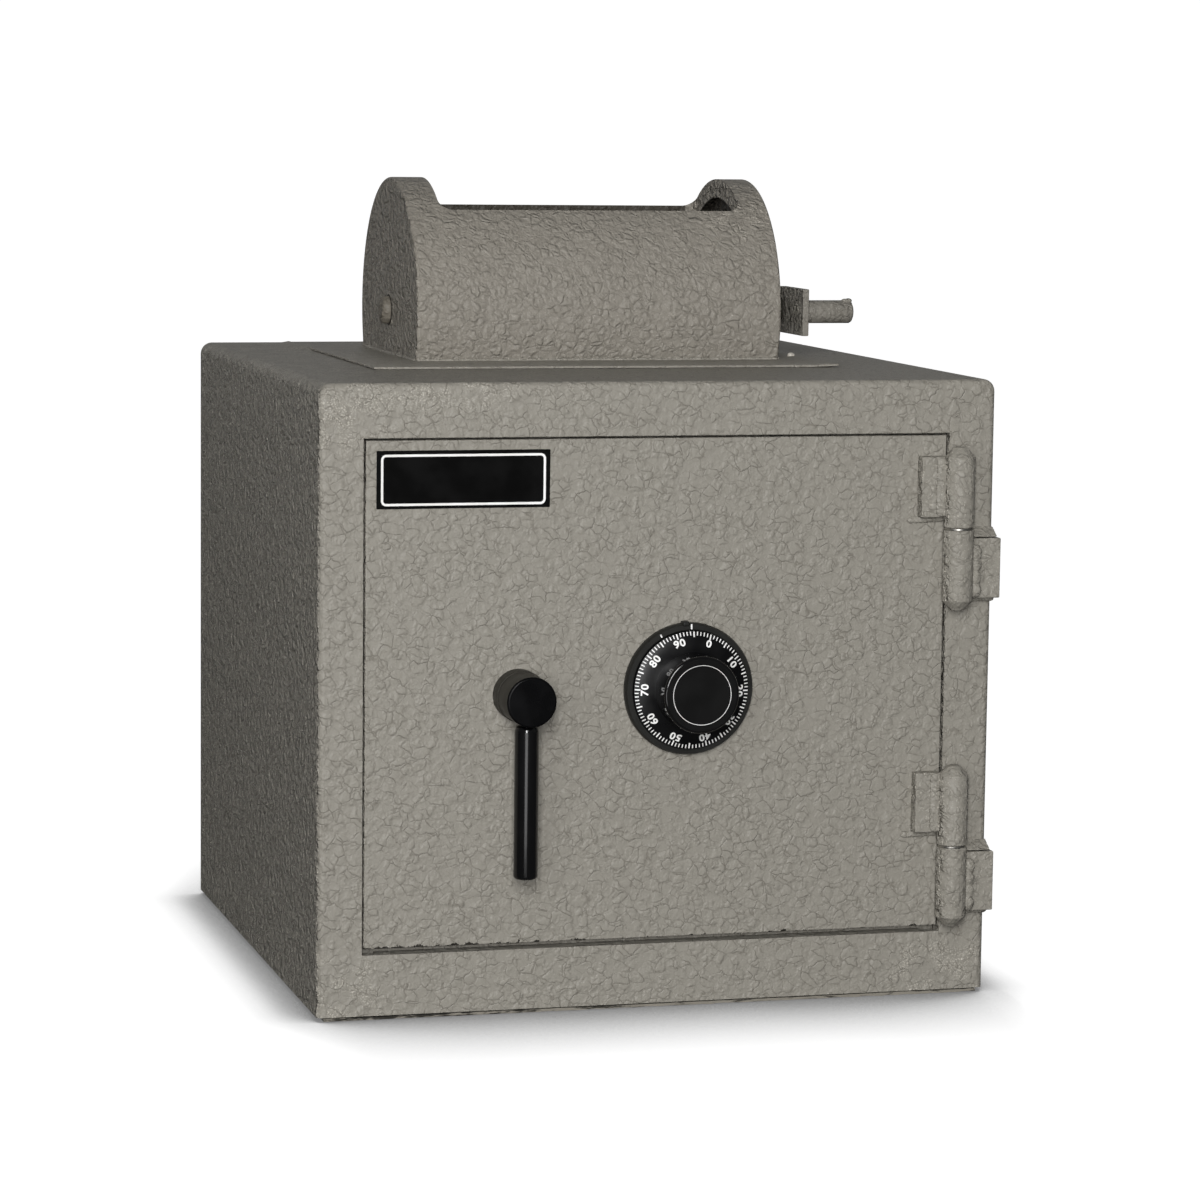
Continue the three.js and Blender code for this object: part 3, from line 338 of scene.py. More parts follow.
def chip_lower_edge(made, edge_mm, reach_mm):
    """Breaks the enamel down to dark metal along the lower edge."""
    tree = made.node_tree
    place = node(tree, "TexCoord", output="Object")
    parts = node(tree, "SeparateXYZ", [place]).node.outputs
    height = node(tree, "Math", (parts["Z"], edge_mm * MM), **MINUS)
    left = node(tree, "MapRange", (parts["X"], -0.06, -0.13, 0.0, 0.10), **SOFT)
    ragged = node(tree, "TexNoise", lumps(place, CHIP_MM, 5.0, 0.65))
    ragged = node(tree, "Math", (ragged, left), **PLUS)
    ragged = node(tree, "Math", (ragged, 0.52), **MINUS)
    reach = node(tree, "Math", (ragged, reach_mm * MM), **TIMES)
    over = node(tree, "Math", (reach, height), **MINUS)
    darken(made, node(tree, "MapRange", (over, -0.05 * MM, 0.15 * MM), **SOFT), "2B2823")


door_enamel = crinkle_enamel("door_enamel", ENAMEL_COLOUR)
chip_lower_edge(door_enamel, DOOR_LOW, CHIP_REACH)
print("chips reach up to about", CHIP_REACH * 0.4, "mm above the door's edge")

# %% [markdown]
# ## Black, print and bare metal
#
# The lever, hub face, label and dial are black, some glossy and some flat. White print marks the dial.
# The bolt work behind the door is bare or zinc-plated steel, with brass and cast zinc in the lock. Each
# gets a small noise in its roughness or height, because no real surface reflects the same everywhere.

# %% Other finishes
DUST_MM = 18.0
# A real grain is far finer than this. It is drawn as coarse as it needs to be to show.
BRUSH_MM = 4.0


def plain_paint(name, code, roughness, specular, lump_mm=2.0, dent=0.01, dust=0.12):
    """Smooth paint with faint lumps and a little dust."""
    made, tree, shader, place = finish(name, roughness, specular)
    cloud = node(tree, "TexNoise", lumps(place, DUST_MM, 4.0))
    dusty = node(tree, "MapRange", (cloud, 0.35, 0.75), **SOFT)
    colours = {0: dusty, 6: srgb(code), 7: tinted(srgb(code), 1.35, 0.0008)}
    tree.links.new(node(tree, "Mix", colours, 2, **IN_COLOUR), shader.inputs["Base Color"])
    rub = node(tree, "MapRange", (cloud, 0.3, 0.7, roughness - dust / 2, roughness + dust / 2), **SOFT)
    tree.links.new(rub, shader.inputs["Roughness"])
    height = node(tree, "TexNoise", lumps(place, lump_mm))
    bump = {"Strength": 0.5, "Distance": dent * MM, "Height": height}
    tree.links.new(node(tree, "Bump", bump), shader.inputs["Normal"])
    return made


def bare_metal(name, code, roughness, stretch, tone=0.82):
    """Metal with a grain drawn along X, Y or Z: a larger number in stretch packs the grain closer."""
    made, tree, shader, place = finish(name, roughness, 0.5, 1.0)
    drawn = node(tree, "Mapping", {"Vector": place, "Scale": stretch})
    lines = node(tree, "TexNoise", lumps(drawn, BRUSH_MM, 4.0, 0.6))
    bright = node(tree, "MapRange", (lines, 0.3, 0.7), **SOFT)
    colours = {0: bright, 6: tinted(srgb(code), tone), 7: srgb(code)}
    tree.links.new(node(tree, "Mix", colours, 2, **IN_COLOUR), shader.inputs["Base Color"])
    rub = node(tree, "MapRange", (lines, 0.3, 0.7, roughness + 0.12, roughness - 0.06), **SOFT)
    tree.links.new(rub, shader.inputs["Roughness"])
    bump = {"Strength": 0.4, "Distance": 0.02 * MM, "Height": lines}
    tree.links.new(node(tree, "Bump", bump), shader.inputs["Normal"])
    return made


# Gloss lacquer mirrors the lamp as one hard line, and the knob's rim as a thin bright edge.
lever_black = plain_paint("lever_black", "050506", 0.14, 0.5, dust=0.03)
knob_gloss = plain_paint("knob_gloss", "060607", 0.08, 0.6, dust=0.02)
# Satin black paint: the eye sees a soft grey bloom on it and no reflection.
hub_black = plain_paint("hub_black", "060607", 0.3, 0.12)
label_black = plain_paint("label_black", "050505", 0.35, 0.08)
dial_black = plain_paint("dial_black", "050506", 0.32, 0.25)
ring_black = plain_paint("ring_black", "1C1C1A", 0.45, 0.25, dust=0.08)
knob_black = plain_paint("knob_black", "070707", 0.5, 0.15)
# Worn primer on the hub's side and the axle: a warm dull brown-black.
hub_paint = plain_paint("hub_paint", "312F2A", 0.45, 0.12)
axle_paint = plain_paint("axle_paint", "33312C", 0.5, 0.1)
# Screen print: flat, slightly warm white with crisp edges.
white_print = plain_paint("white_print", "F0EFEC", 0.5, 0.3, dent=0.004)
# Metals: drawn or plated steel, turned brass and die-cast zinc, each with the grain its making left.
washer_metal = bare_metal("washer_metal", "C9C6C0", 0.3, (1, 1, 6))
drawn_steel = bare_metal("drawn_steel", "9A9890", 0.34, (6, 1, 6))
zinc_plate = bare_metal("zinc_plate", "B9B8AE", 0.38, (1, 5, 1))
turned_brass = bare_metal("turned_brass", "C2A25A", 0.3, (1, 8, 1))
cast_zinc = bare_metal("cast_zinc", "9C9D9C", 0.5, (1, 1, 1))
print("finishes:", len(bpy.data.materials))

# %% [markdown]
# ## The scarred edge at the floor
#
# A thin steel plate closes the case from below. Only its edge shows, as a narrow grey strip under the
# front, rubbed bright where the safe was dragged and still dark at the left corner. A noise drawn out
# along the edge gives the scrapes. Behind the edge, on the safe's inner floor, the plate is enamelled.

# %% Scarred edge
SCRAPE_MM = 5.0
EDGE_FROM = -0.2145
EDGE_TO = -0.2125


def scarred_edge(name):
    """Dark primer with pale scrapes along its length."""
    made, tree, shader, place = finish(name, 0.6, 0.2)
    drawn = node(tree, "Mapping", {"Vector": place, "Scale": (0.35, 1, 2.5)})
    scrape = node(tree, "TexNoise", lumps(drawn, SCRAPE_MM, 6.0, 0.7))
    parts = node(tree, "SeparateXYZ", [place]).node.outputs
    left = node(tree, "MapRange", (parts["X"], -0.17, -0.06, -0.05, 0.06), **SOFT)
    bare = node(tree, "Math", (scrape, left), **PLUS)
    bare = node(tree, "MapRange", (bare, 0.44, 0.56), **SOFT)
    shade = node(tree, "Mix", {0: bare, 6: srgb("2A2823"), 7: srgb("8A857B")}, 2, **IN_COLOUR)
    behind = node(tree, "MapRange", (parts["Y"], EDGE_FROM, EDGE_TO), **SOFT)
    shade = node(tree, "Mix", {0: behind, 6: shade, 7: ENAMEL_COLOUR}, 2, **IN_COLOUR)
    tree.links.new(shade, shader.inputs["Base Color"])
    bump = {"Strength": 0.8, "Distance": 0.4 * MM, "Height": scrape}
    tree.links.new(node(tree, "Bump", bump), shader.inputs["Normal"])
    return made


base_edge = scarred_edge("base_edge")
print("scrapes about", SCRAPE_MM / 0.35, "mm long")

# %% [markdown]
# ## Tools for the bench
#
# A few helpers do what a modeller's hands do again and again: add a block or a bar at its place, turn a
# profile as on a lathe, cut one shape out of another, and round chosen edges. Every piece ends with its
# object at the origin and its place in the mesh, so that a pattern stays on it when it moves.

# %% Adding a shape
TURN_TO = {"X": (0, math.pi / 2, 0), "Y": (-math.pi / 2, 0, 0), "Z": (0, 0, 0)}
ALONG = {"X": Vector((1, 0, 0)), "Y": Vector((0, 1, 0)), "Z": Vector((0, 0, 1))}


def only(piece):
    """Selects one object and nothing else."""
    bpy.ops.object.select_all(action="DESELECT")
    piece.select_set(True)
    bpy.context.view_layer.objects.active = piece


def settle(name):
    """Names the new object and moves its place into its mesh."""
    piece = bpy.context.object
    piece.name = name
    bpy.ops.object.transform_apply(location=True, rotation=True, scale=True)
    return piece


def block(name, low, high):
    """A block between two corners in millimetres."""
    low, high = Vector(low) * MM, Vector(high) * MM
    bpy.ops.mesh.primitive_cube_add(size=1, location=(low + high) / 2)
    bpy.context.object.scale = high - low
    return settle(name)


def rod(name, axis, centre, radius, start, end, sides=96):
    """A round bar along an axis, from start to end on that axis."""
    place = Vector(centre) + ALONG[axis] * (start + end) / 2
    bpy.ops.mesh.primitive_cylinder_add(
        vertices=sides, radius=radius * MM, depth=abs(end - start) * MM, location=place * MM,
        rotation=TURN_TO[axis])
    return settle(name)


def turned(name, axis, centre, profile, sides=96):
    """Turns a profile of (radius, place along the axis) points, closed at both ends."""
    centre = Vector(centre)
    radius, along = profile[0]
    bpy.ops.mesh.primitive_circle_add(
        vertices=sides, radius=radius * MM, fill_type="NGON",
        location=(centre + ALONG[axis] * along) * MM, rotation=TURN_TO[axis])
    piece = settle(name)
    bpy.ops.object.mode_set(mode="EDIT")
    bpy.ops.mesh.select_mode(type="FACE")
    bpy.ops.mesh.select_all(action="SELECT")
    for next_radius, next_along in profile[1:]:
        step = ALONG[axis] * (next_along - along) * MM
        bpy.ops.mesh.extrude_region_move(TRANSFORM_OT_translate={"value": step})
        grow = next_radius / radius
        middle = (centre + ALONG[axis] * next_along) * MM
        bpy.ops.transform.resize(value=(grow, grow, grow), center_override=middle)
        radius, along = next_radius, next_along
    bpy.ops.mesh.select_all(action="SELECT")
    bpy.ops.mesh.normals_make_consistent(inside=False)
    bpy.ops.object.mode_set(mode="OBJECT")
    return piece


print("bars and turned shapes can lie along", *ALONG)


# %% Cutting, rounding and fitting
def carve(piece, *tools, operation="DIFFERENCE"):
    """Cuts each tool out of the piece, or joins it on, and throws the tool away."""
    for tool in tools:
        only(piece)
        cutter = piece.modifiers.new("carve", "BOOLEAN")
        cutter.operation = operation
        cutter.solver = "EXACT"
        cutter.object = tool
        bpy.ops.object.modifier_apply(modifier=cutter.name)
        bpy.data.objects.remove(tool, do_unlink=True)
    return piece


def pick(piece, kind, wanted):
    """Opens the piece in edit mode with its edges or faces selected where wanted(middle, direction) says."""
    only(piece)
    bpy.ops.object.mode_set(mode="EDIT")
    bpy.ops.mesh.select_mode(type=kind)
    bpy.ops.mesh.select_all(action="DESELECT")
    shape = bmesh.from_edit_mesh(piece.data)
    for part in shape.edges if kind == "EDGE" else shape.faces:
        ends = [corner.co for corner in part.verts]
        middle = sum(ends, Vector()) / len(ends) / MM
        direction = (ends[1] - ends[0]).normalized() if kind == "EDGE" else part.normal
        part.select_set(bool(wanted(middle, direction)))
    bmesh.update_edit_mesh(piece.data)


def round_edges(piece, width, segments, wanted):
    """Rounds the edges that wanted accepts."""
    pick(piece, "EDGE", wanted)
    bpy.ops.mesh.bevel(offset=width * MM, segments=segments, affect="EDGES", clamp_overlap=True)
    bpy.ops.object.mode_set(mode="OBJECT")
    return piece


def soften(piece, width, segments=3, angle=35):
    """Rounds every edge that is sharper than the angle."""
    only(piece)
    edge = piece.modifiers.new("soften", "BEVEL")
    edge.width = width * MM
    edge.segments = segments
    edge.limit_method = "ANGLE"
    edge.angle_limit = math.radians(angle)
    bpy.ops.object.modifier_apply(modifier=edge.name)
    return piece


def fit(piece, body, surface, slot, *nodes, smooth=32, weighted=True):
    """Gives the piece its finish and its body, and hides the parts of the frame that it stands for."""
    only(piece)
    piece.data.materials.clear()
    piece.data.materials.append(surface)
    bpy.ops.object.shade_smooth_by_angle(angle=math.radians(smooth))
    if weighted:
        even = piece.modifiers.new("even", "WEIGHTED_NORMAL")
        even.keep_sharp = True
        bpy.ops.object.modifier_apply(modifier=even.name)
    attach(piece, body)
    if nodes:
        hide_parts(*nodes)
    print(piece.name, len(piece.data.polygons), "faces, rides on", body)
    return piece


# %% [markdown]
# ## The case
#
# The case is one thick sheet folded over both top edges, with a separate face welded to its front. The
# folds are about 8 mm in radius. The face's outer rim is ground to a soft round of 4.5 mm, the doorway's
# sill is worn rounder than its other sides, and the rest is cut square. A block for each, with chosen
# edges rounded and the openings carved out, follows the order in which a metal worker would do it.

# %% Case
SIDE_X = 222.5
FACE_Y = -219.0
BACK_Y = 219.0
SEAM_Y = -213.0
FOOT_Z = 3.0
TOP_Z = 403.0
FOLD_R = 8.0
RIM_R = 4.5
SILL_R = 2.6
CUT_R = 0.8
BACK_R = 1.5
WALL = 6.25
DOORWAY_LEFT = -194.0
DOORWAY_RIGHT = 191.0
DOORWAY_LOW = 42.0
DOORWAY_HIGH = 368.5
SLOT_LEFT = -113.75
SLOT_RIGHT = 127.75
SLOT_HALF = 79.46


def on_fold(at, way):
    """The two long top edges."""
    return abs(way.y) > 0.9 and at.z > TOP_Z - 3


def drum_slot(low, high):
    """A tool that cuts the slot through which the drum hangs into the case."""
    return block("slot", (SLOT_LEFT, HOPPER_Y - SLOT_HALF, low), (SLOT_RIGHT, HOPPER_Y + SLOT_HALF, high))


def on_doorway(at):
    """The doorway's front edges."""
    inside = DOORWAY_LEFT - 1 < at.x < DOORWAY_RIGHT + 1 and DOORWAY_LOW - 1 < at.z < DOORWAY_HIGH + 1
    return at.y < FACE_Y + 0.1 and inside


face = block("frame_face", (-SIDE_X, FACE_Y, FOOT_Z), (SIDE_X, SEAM_Y, TOP_Z))
round_edges(face, FOLD_R, 10, on_fold)
round_edges(face, RIM_R, 6, lambda at, way: at.y < FACE_Y + 0.1 and at.z > FOOT_Z + 1)
round_edges(face, CUT_R, 3, lambda at, way: at.y < FACE_Y + 0.1 and at.z < FOOT_Z + 0.1)
carve(face, block(
    "doorway", (DOORWAY_LEFT, FACE_Y - 5, DOORWAY_LOW), (DOORWAY_RIGHT, SEAM_Y + 5, DOORWAY_HIGH)))
round_edges(face, SILL_R, 5, lambda at, way: on_doorway(at) and at.z < DOORWAY_LOW + 0.1)
round_edges(face, CUT_R, 3, lambda at, way: on_doorway(at) and at.z > DOORWAY_LOW + 3)
fit(face, "safe_body", case_enamel, "crinkle_enamel", "front_frame")

shell = block("case_shell", (-SIDE_X, SEAM_Y, FOOT_Z), (SIDE_X, BACK_Y, TOP_Z))
round_edges(shell, FOLD_R, 10, on_fold)
round_edges(shell, BACK_R, 4, lambda at, way: at.y > BACK_Y - 0.1 and abs(way.y) < 0.5)
inner = SIDE_X - WALL
hollow = block("hollow", (-inner, SEAM_Y - 5, FOOT_Z - 5), (inner, BACK_Y + 5, TOP_Z - WALL))
carve(shell, hollow, drum_slot(TOP_Z - 20, TOP_Z + 5))
fit(shell, "safe_body", side_enamel, "crinkle_enamel", "body_shell")

# %% [markdown]
# The bottom plate's front edge is uneven, because it was flame-cut, and a fine gap shows above it.
# Cutting the edge into short lengths and nudging its corners at random gives that without a sculpting
# brush. A fixed seed gives the same edge each time.

# %% Base plate
BASE_LOW = (-218, -217.4, 0.35)
BASE_HIGH = (218, 215.6, FOOT_Z - 0.9)
FLAME_CUT = 0.3

base = block("base_plate", BASE_LOW, BASE_HIGH)
pick(base, "EDGE", lambda at, way: abs(way.x) > 0.9)
bpy.ops.mesh.subdivide(number_cuts=120)
bpy.ops.object.mode_set(mode="OBJECT")
pick(base, "EDGE", lambda at, way: at.y < -217)
bpy.ops.transform.vertex_random(offset=FLAME_CUT * MM, seed=4)
bpy.ops.object.mode_set(mode="OBJECT")
fit(base, "safe_body", base_edge, "crinkle_enamel", "bottom_plate", weighted=False)

# %% [markdown]
# ## The door
#
# The door is a flat plate that fills the doorway with a gap of a few millimetres. Its front edges are
# broken by one millimetre. The bores for the handle and the dial go right through, so they are carved.

# %% Door plate
HANDLE_X = -94.25
HANDLE_Z = 205.75
HANDLE_BORE_R = 6.4
DIAL_X = 17.25
DIAL_Z = 207.0
DIAL_BORE_R = 4.15
DOOR_BACK_Y = -207.0
DOOR_BORE = (FACE_Y - 5, DOOR_BACK_Y + 5)

door = block("door_face", (-192.8, FACE_Y, DOOR_LOW), (189.2, DOOR_BACK_Y, 367.2))
round_edges(door, 1.0, 4, lambda at, way: at.y < FACE_Y + 0.1)
handle_bore = rod("handle_bore", "Y", (HANDLE_X, 0, HANDLE_Z), HANDLE_BORE_R, *DOOR_BORE, 48)
dial_bore = rod("dial_bore", "Y", (DIAL_X, 0, DIAL_Z), DIAL_BORE_R, *DOOR_BORE, 48)
carve(door, handle_bore, dial_bore)
fit(door, "door", door_enamel, "crinkle_enamel", "door_plate")

# %% [markdown]
# The black plate at the door's upper left is plain inside its white border. The border is a thin frame
# of print: a rounded slab with a smaller rounded slab carved out.

# %% Label
LABEL_LOW = (-186.2, 324.4)
LABEL_HIGH = (-74.75, 360.9)
LABEL_Y = -219.5


def slab(name, low, high, front, rear, corner):
    """A thin upright plate with rounded corners, low and high being its (x, z) corners."""
    made = block(name, (low[0], front, low[1]), (high[0], rear, high[1]))
    return round_edges(made, corner, 8, lambda at, way: abs(way.y) > 0.9)


label = slab("label_face", LABEL_LOW, LABEL_HIGH, LABEL_Y, FACE_Y, 0.6)
soften(label, 0.12, 2, 60)
fit(label, "door", label_black, "label_black", "label_plate")

INSET_SIDE = 2.8
INSET_TOP = 2.4
INSET_FOOT = 1.9
LINE_W = 1.5
PRINT_RISE = 0.04
low = (LABEL_LOW[0] + INSET_SIDE, LABEL_LOW[1] + INSET_FOOT)
high = (LABEL_HIGH[0] - INSET_SIDE, LABEL_HIGH[1] - INSET_TOP)
border = slab("label_border", low, high, LABEL_Y - PRINT_RISE, LABEL_Y + 0.2, 3.4)
inner_low = (low[0] + LINE_W, low[1] + LINE_W)
inner_high = (high[0] - LINE_W, high[1] - LINE_W)
carve(border, slab("border_inside", inner_low, inner_high, LABEL_Y - 2, LABEL_Y + 2, 1.9))
fit(border, "door", white_print, "label_black", "label_plate", weighted=False)

# %% [markdown]
# ## The hopper's flange
#
# A thin plate lies on the case's top and carries the hood. Filler slopes down from its edge at the back,
# but in front and halfway along the sides a dark gap shows under it, so the plate rests on a narrower
# packing there. It isn't quite flat: its right end has sprung up by nearly 1 mm. Cutting the plate across
# in a few places and lifting each length a little more than the last bends it as the weld's heat did.

# %% Flange
FLANGE_TOP = 404.8
FLANGE_UNDER = 403.5
FLANGE_LEFT = -161.2
FLANGE_RIGHT = 157.0
FLANGE_FRONT = -93.5
FLANGE_REAR = 193
PACKING_IN = 2.5
PACKING_REAR = 120
FILLER_LEFT = -171
FILLER_FRONT = 117
FILLER_FULL = 132
FILLER_REAR = 202
LIFT_CUTS = range(138, 158, 4)
LIFT = 0.15


def cut_across(piece, place, normal, **options):
    """Cuts a piece's faces along a plane. The place is in millimetres."""
    pick(piece, "FACE", lambda at, way: True)
    bpy.ops.mesh.bisect(plane_co=Vector(place) * MM, plane_no=normal, **options)
    bpy.ops.object.mode_set(mode="OBJECT")


flange = block(
    "flange_plate", (FLANGE_LEFT, FLANGE_FRONT, FLANGE_UNDER), (FLANGE_RIGHT, FLANGE_REAR, FLANGE_TOP))
round_edges(flange, 0.4, 3, lambda at, way: at.z > FLANGE_TOP - 0.1)
packing = block(
    "packing", (FLANGE_LEFT + PACKING_IN, FLANGE_FRONT + PACKING_IN, TOP_Z),
    (FLANGE_RIGHT - PACKING_IN, PACKING_REAR, FLANGE_UNDER + 0.3))
filler = block(
    "flange_filler", (FILLER_LEFT, FILLER_FRONT, TOP_Z), (FLANGE_LEFT + 0.1, FILLER_REAR, FLANGE_TOP - 0.02))
cut_across(filler, (0, FILLER_FULL, 0), (0, 1, 0))
pick(filler, "EDGE", lambda at, way: at.z > FLANGE_TOP - 0.1 and (
    at.x < FILLER_LEFT + 1 or at.y < FILLER_FRONT + 1))
bpy.ops.transform.translate(value=(0, 0, (TOP_Z - FLANGE_TOP + 0.07) * MM))
bpy.ops.object.mode_set(mode="OBJECT")
carve(flange, packing, operation="UNION")
carve(flange, drum_slot(TOP_Z - 5, 411))
for cut_x in LIFT_CUTS:
    cut_across(flange, (cut_x, 0, 0), (1, 0, 0))
for cut_x in LIFT_CUTS:
    only(flange)
    bpy.ops.object.mode_set(mode="EDIT")
    bpy.ops.mesh.select_mode(type="VERT")
    shape = bmesh.from_edit_mesh(flange.data)
    for corner in shape.verts:
        corner.select_set(corner.co.x > (cut_x + 1) * MM)
    shape.select_flush(True)
    bmesh.update_edit_mesh(flange.data)
    bpy.ops.transform.translate(value=(0, 0, LIFT * MM))
    bpy.ops.object.mode_set(mode="OBJECT")
fit(flange, "safe_body", case_enamel, "crinkle_enamel", "hopper_flange", weighted=False)
fit(filler, "safe_body", side_enamel, "crinkle_enamel", weighted=False)

# %% [markdown]
# ## The hood
#
# The hood is a barrel cut off flat where it meets the flange, closed by an end plate on each side. An
# opening with round corners is cut through its top. A lathe shape, a straight cut and three carved-out
# tools build it in the same order as the real one.

# %% Hood
HOOD_LEFT = -120.0
HOOD_RIGHT = 134.0
HOOD_R = 90.75
CAVITY_R = 84.5
AXLE_HOLE_R = 8.9
MOUTH_LEFT = -97.5
MOUTH_RIGHT = 114.0
MOUTH_FRONT = -4.72
MOUTH_CORNER = 9.0
AXIS = (0, HOPPER_Y, AXIS_Z)


def on_hood_rim(at, way):
    """The round edges of the two end plates, above the flange."""
    return (at.x < HOOD_LEFT + 0.1 or at.x > HOOD_RIGHT - 0.1) and at.z > FLANGE_TOP + 0.1


hood = rod("hopper_hood", "X", AXIS, HOOD_R, HOOD_LEFT, HOOD_RIGHT, 192)
cut_across(hood, (0, 0, FLANGE_TOP), (0, 0, 1), use_fill=True, clear_inner=True)
round_edges(hood, 2.0, 5, on_hood_rim)
cavity = rod("cavity", "X", AXIS, CAVITY_R, HOOD_LEFT + WALL, HOOD_RIGHT - WALL, 192)
mouth = block(
    "mouth", (MOUTH_LEFT, MOUTH_FRONT, AXIS_Z + 20), (MOUTH_RIGHT, MOUTH_REAR, AXIS_Z + 120))
round_edges(mouth, MOUTH_CORNER, 10, lambda at, way: abs(way.z) > 0.9)
bore = rod("bore", "X", AXIS, AXLE_HOLE_R, HOOD_LEFT - 5, HOOD_RIGHT + 5, 48)
carve(hood, cavity, mouth, bore)
soften(hood, 0.9, 3, 50)
fit(hood, "safe_body", hood_enamel, "crinkle_enamel", "hood_barrel", "hood_end_left", "hood_end_right")

# %% [markdown]
# ## The drum
#
# Inside the hood a drum turns on the crank's axle. It is a tube with a closed disc at each end and a
# wedge cut from it, which faces up at rest and takes the deposit. A bar is hollowed, and the wedge is a
# block whose lower face is pinched to a line.

# %% Drum
DRUM_LEFT = -112.0
DRUM_RIGHT = 126.0
DRUM_R = 84.2
DRUM_WALL = 6.45
WEDGE = math.radians(39.5)
WEDGE_REACH = 145.0

drum = rod("drum_skin", "X", AXIS, DRUM_R, DRUM_LEFT, DRUM_RIGHT, 160)
hollow = rod("hollow", "X", AXIS, DRUM_R - DRUM_WALL, DRUM_LEFT + DRUM_WALL, DRUM_RIGHT - DRUM_WALL, 160)
wide = WEDGE_REACH * math.sin(WEDGE)
tall = WEDGE_REACH * math.cos(WEDGE)
wedge = block("wedge", (MOUTH_LEFT, HOPPER_Y - wide, AXIS_Z), (MOUTH_RIGHT, HOPPER_Y + wide, AXIS_Z + tall))
pick(wedge, "FACE", lambda at, way: way.z < -0.9)
bpy.ops.transform.resize(value=(1, 0.001, 1), center_override=(0, HOPPER_Y * MM, AXIS_Z * MM))
bpy.ops.object.mode_set(mode="OBJECT")
carve(drum, hollow, wedge)
soften(drum, 0.2, 2, 50)
fit(drum, "drum", drum_enamel, "crinkle_enamel", "drum_barrel", "drum_end_left", "drum_end_right")

# %% [markdown]
# ## Weld metal
#
# The hood, the hinges and the crank are all welded on, and the paint doesn't hide the beads. A real bead
# is a row of small overlapping pools. Here one squashed ball is repeated along the seam, its corners are
# nudged at random, and a voxel remesh melts the row into one skin.

# %% Weld helper
MELT_MM = 0.5
WANDER_MM = 0.3
POOL_STEP = 0.9


def melt_together(piece, voxel):
    """Turns overlapping lumps into one skin."""
    melt = piece.modifiers.new("melt", "REMESH")
    melt.mode = "VOXEL"
    melt.voxel_size = voxel * MM
    bpy.ops.object.modifier_apply(modifier=melt.name)


def weld_bead(name, start, end, size, body, seed, voxel=MELT_MM, wander=WANDER_MM, spacing=POOL_STEP):
    """A bead from start to end. Size is the half-width of a pool along X, Y and Z, in millimetres."""
    start, end = Vector(start), Vector(end)
    run = end - start
    way = run.normalized()
    pool = abs(way.dot(Vector(size)))
    count = max(2, int(run.length / (pool * spacing)) + 1)
    bpy.ops.mesh.primitive_uv_sphere_add(segments=20, ring_count=12, radius=MM, location=start * MM)
    bpy.context.object.scale = size
    piece = settle(name)
    row = piece.modifiers.new("row", "ARRAY")
    row.count = count
    row.use_relative_offset = False
    row.use_constant_offset = True
    row.constant_offset_displace = run * MM / (count - 1)
    bpy.ops.object.modifier_apply(modifier=row.name)
    bpy.ops.object.mode_set(mode="EDIT")
    bpy.ops.mesh.select_all(action="SELECT")
    bpy.ops.transform.vertex_random(offset=wander * MM, seed=seed)
    bpy.ops.object.mode_set(mode="OBJECT")
    melt_together(piece, voxel)
    return fit(piece, body, fitting_enamel, "crinkle_enamel", smooth=80, weighted=False)


FOOT_FRONT = HOPPER_Y - math.sqrt(HOOD_R ** 2 - (AXIS_Z - FLANGE_TOP) ** 2)
FOOT_REAR = 2 * HOPPER_Y - FOOT_FRONT
ALONG_X = (3.0, 1.3, 1.3)
ALONG_Y = (1.3, 3.0, 1.3)
FOOT_WELDS = (
    ("front", (HOOD_LEFT + 3, FOOT_FRONT - 0.2), (HOOD_RIGHT - 3, FOOT_FRONT - 0.2), ALONG_X, 11),
    ("left", (HOOD_LEFT - 0.2, FOOT_FRONT + 3), (HOOD_LEFT - 0.2, FOOT_REAR - 3), ALONG_Y, 12),
    ("right", (HOOD_RIGHT + 0.2, FOOT_FRONT + 3), (HOOD_RIGHT + 0.2, FOOT_REAR - 3), ALONG_Y, 13))
for tag, start, end, size, seed in FOOT_WELDS:
    weld_bead("weld_hood_" + tag, (*start, FLANGE_TOP + 0.2), (*end, FLANGE_TOP + 0.2), size, "safe_body",
              seed, 0.6)

# %% [markdown]
# One crumb of pale paint sticks to the flange at the right. The bead helper makes it as well.

# %% Crumb
CRUMB_Z = FLANGE_TOP + 0.9
crumb = weld_bead("paint_crumb", (150.8, -6.0, CRUMB_Z), (152.3, -5.0, CRUMB_Z), (1.9, 2.2, 2.0),
                  "safe_body", 14, 0.35, 0.4)
crumb.data.materials[0] = plain_paint("loose_paint", "CBC6BC", 0.4, 0.3)

# %% [markdown]
# ## The axle and the crank
#
# On the left the axle ends in a low dome, set in the end plate with a thin dark ring round it, which is
# painted shade. On the right it passes through a bush to a flat arm with a round grip, which turns the
# drum. The dome, bush and grip are lathe shapes. The arm is a flat bar with its rear end rounded about the
# axle, and both its joints are spot-welded.

# %% Axle
AXLE_R = 8.5
ARM_LEFT = 162.0
ARM_RIGHT = 166.5


def open_ring(name, axis, centre, radius, hole, start, end, sides=64):
    """A flat ring: a bar with a round hole through it."""
    eye = (start - 5, end + 5)
    outside = rod(name, axis, centre, radius, start, end, sides)
    return carve(outside, rod("eye", axis, centre, hole, *eye, sides))


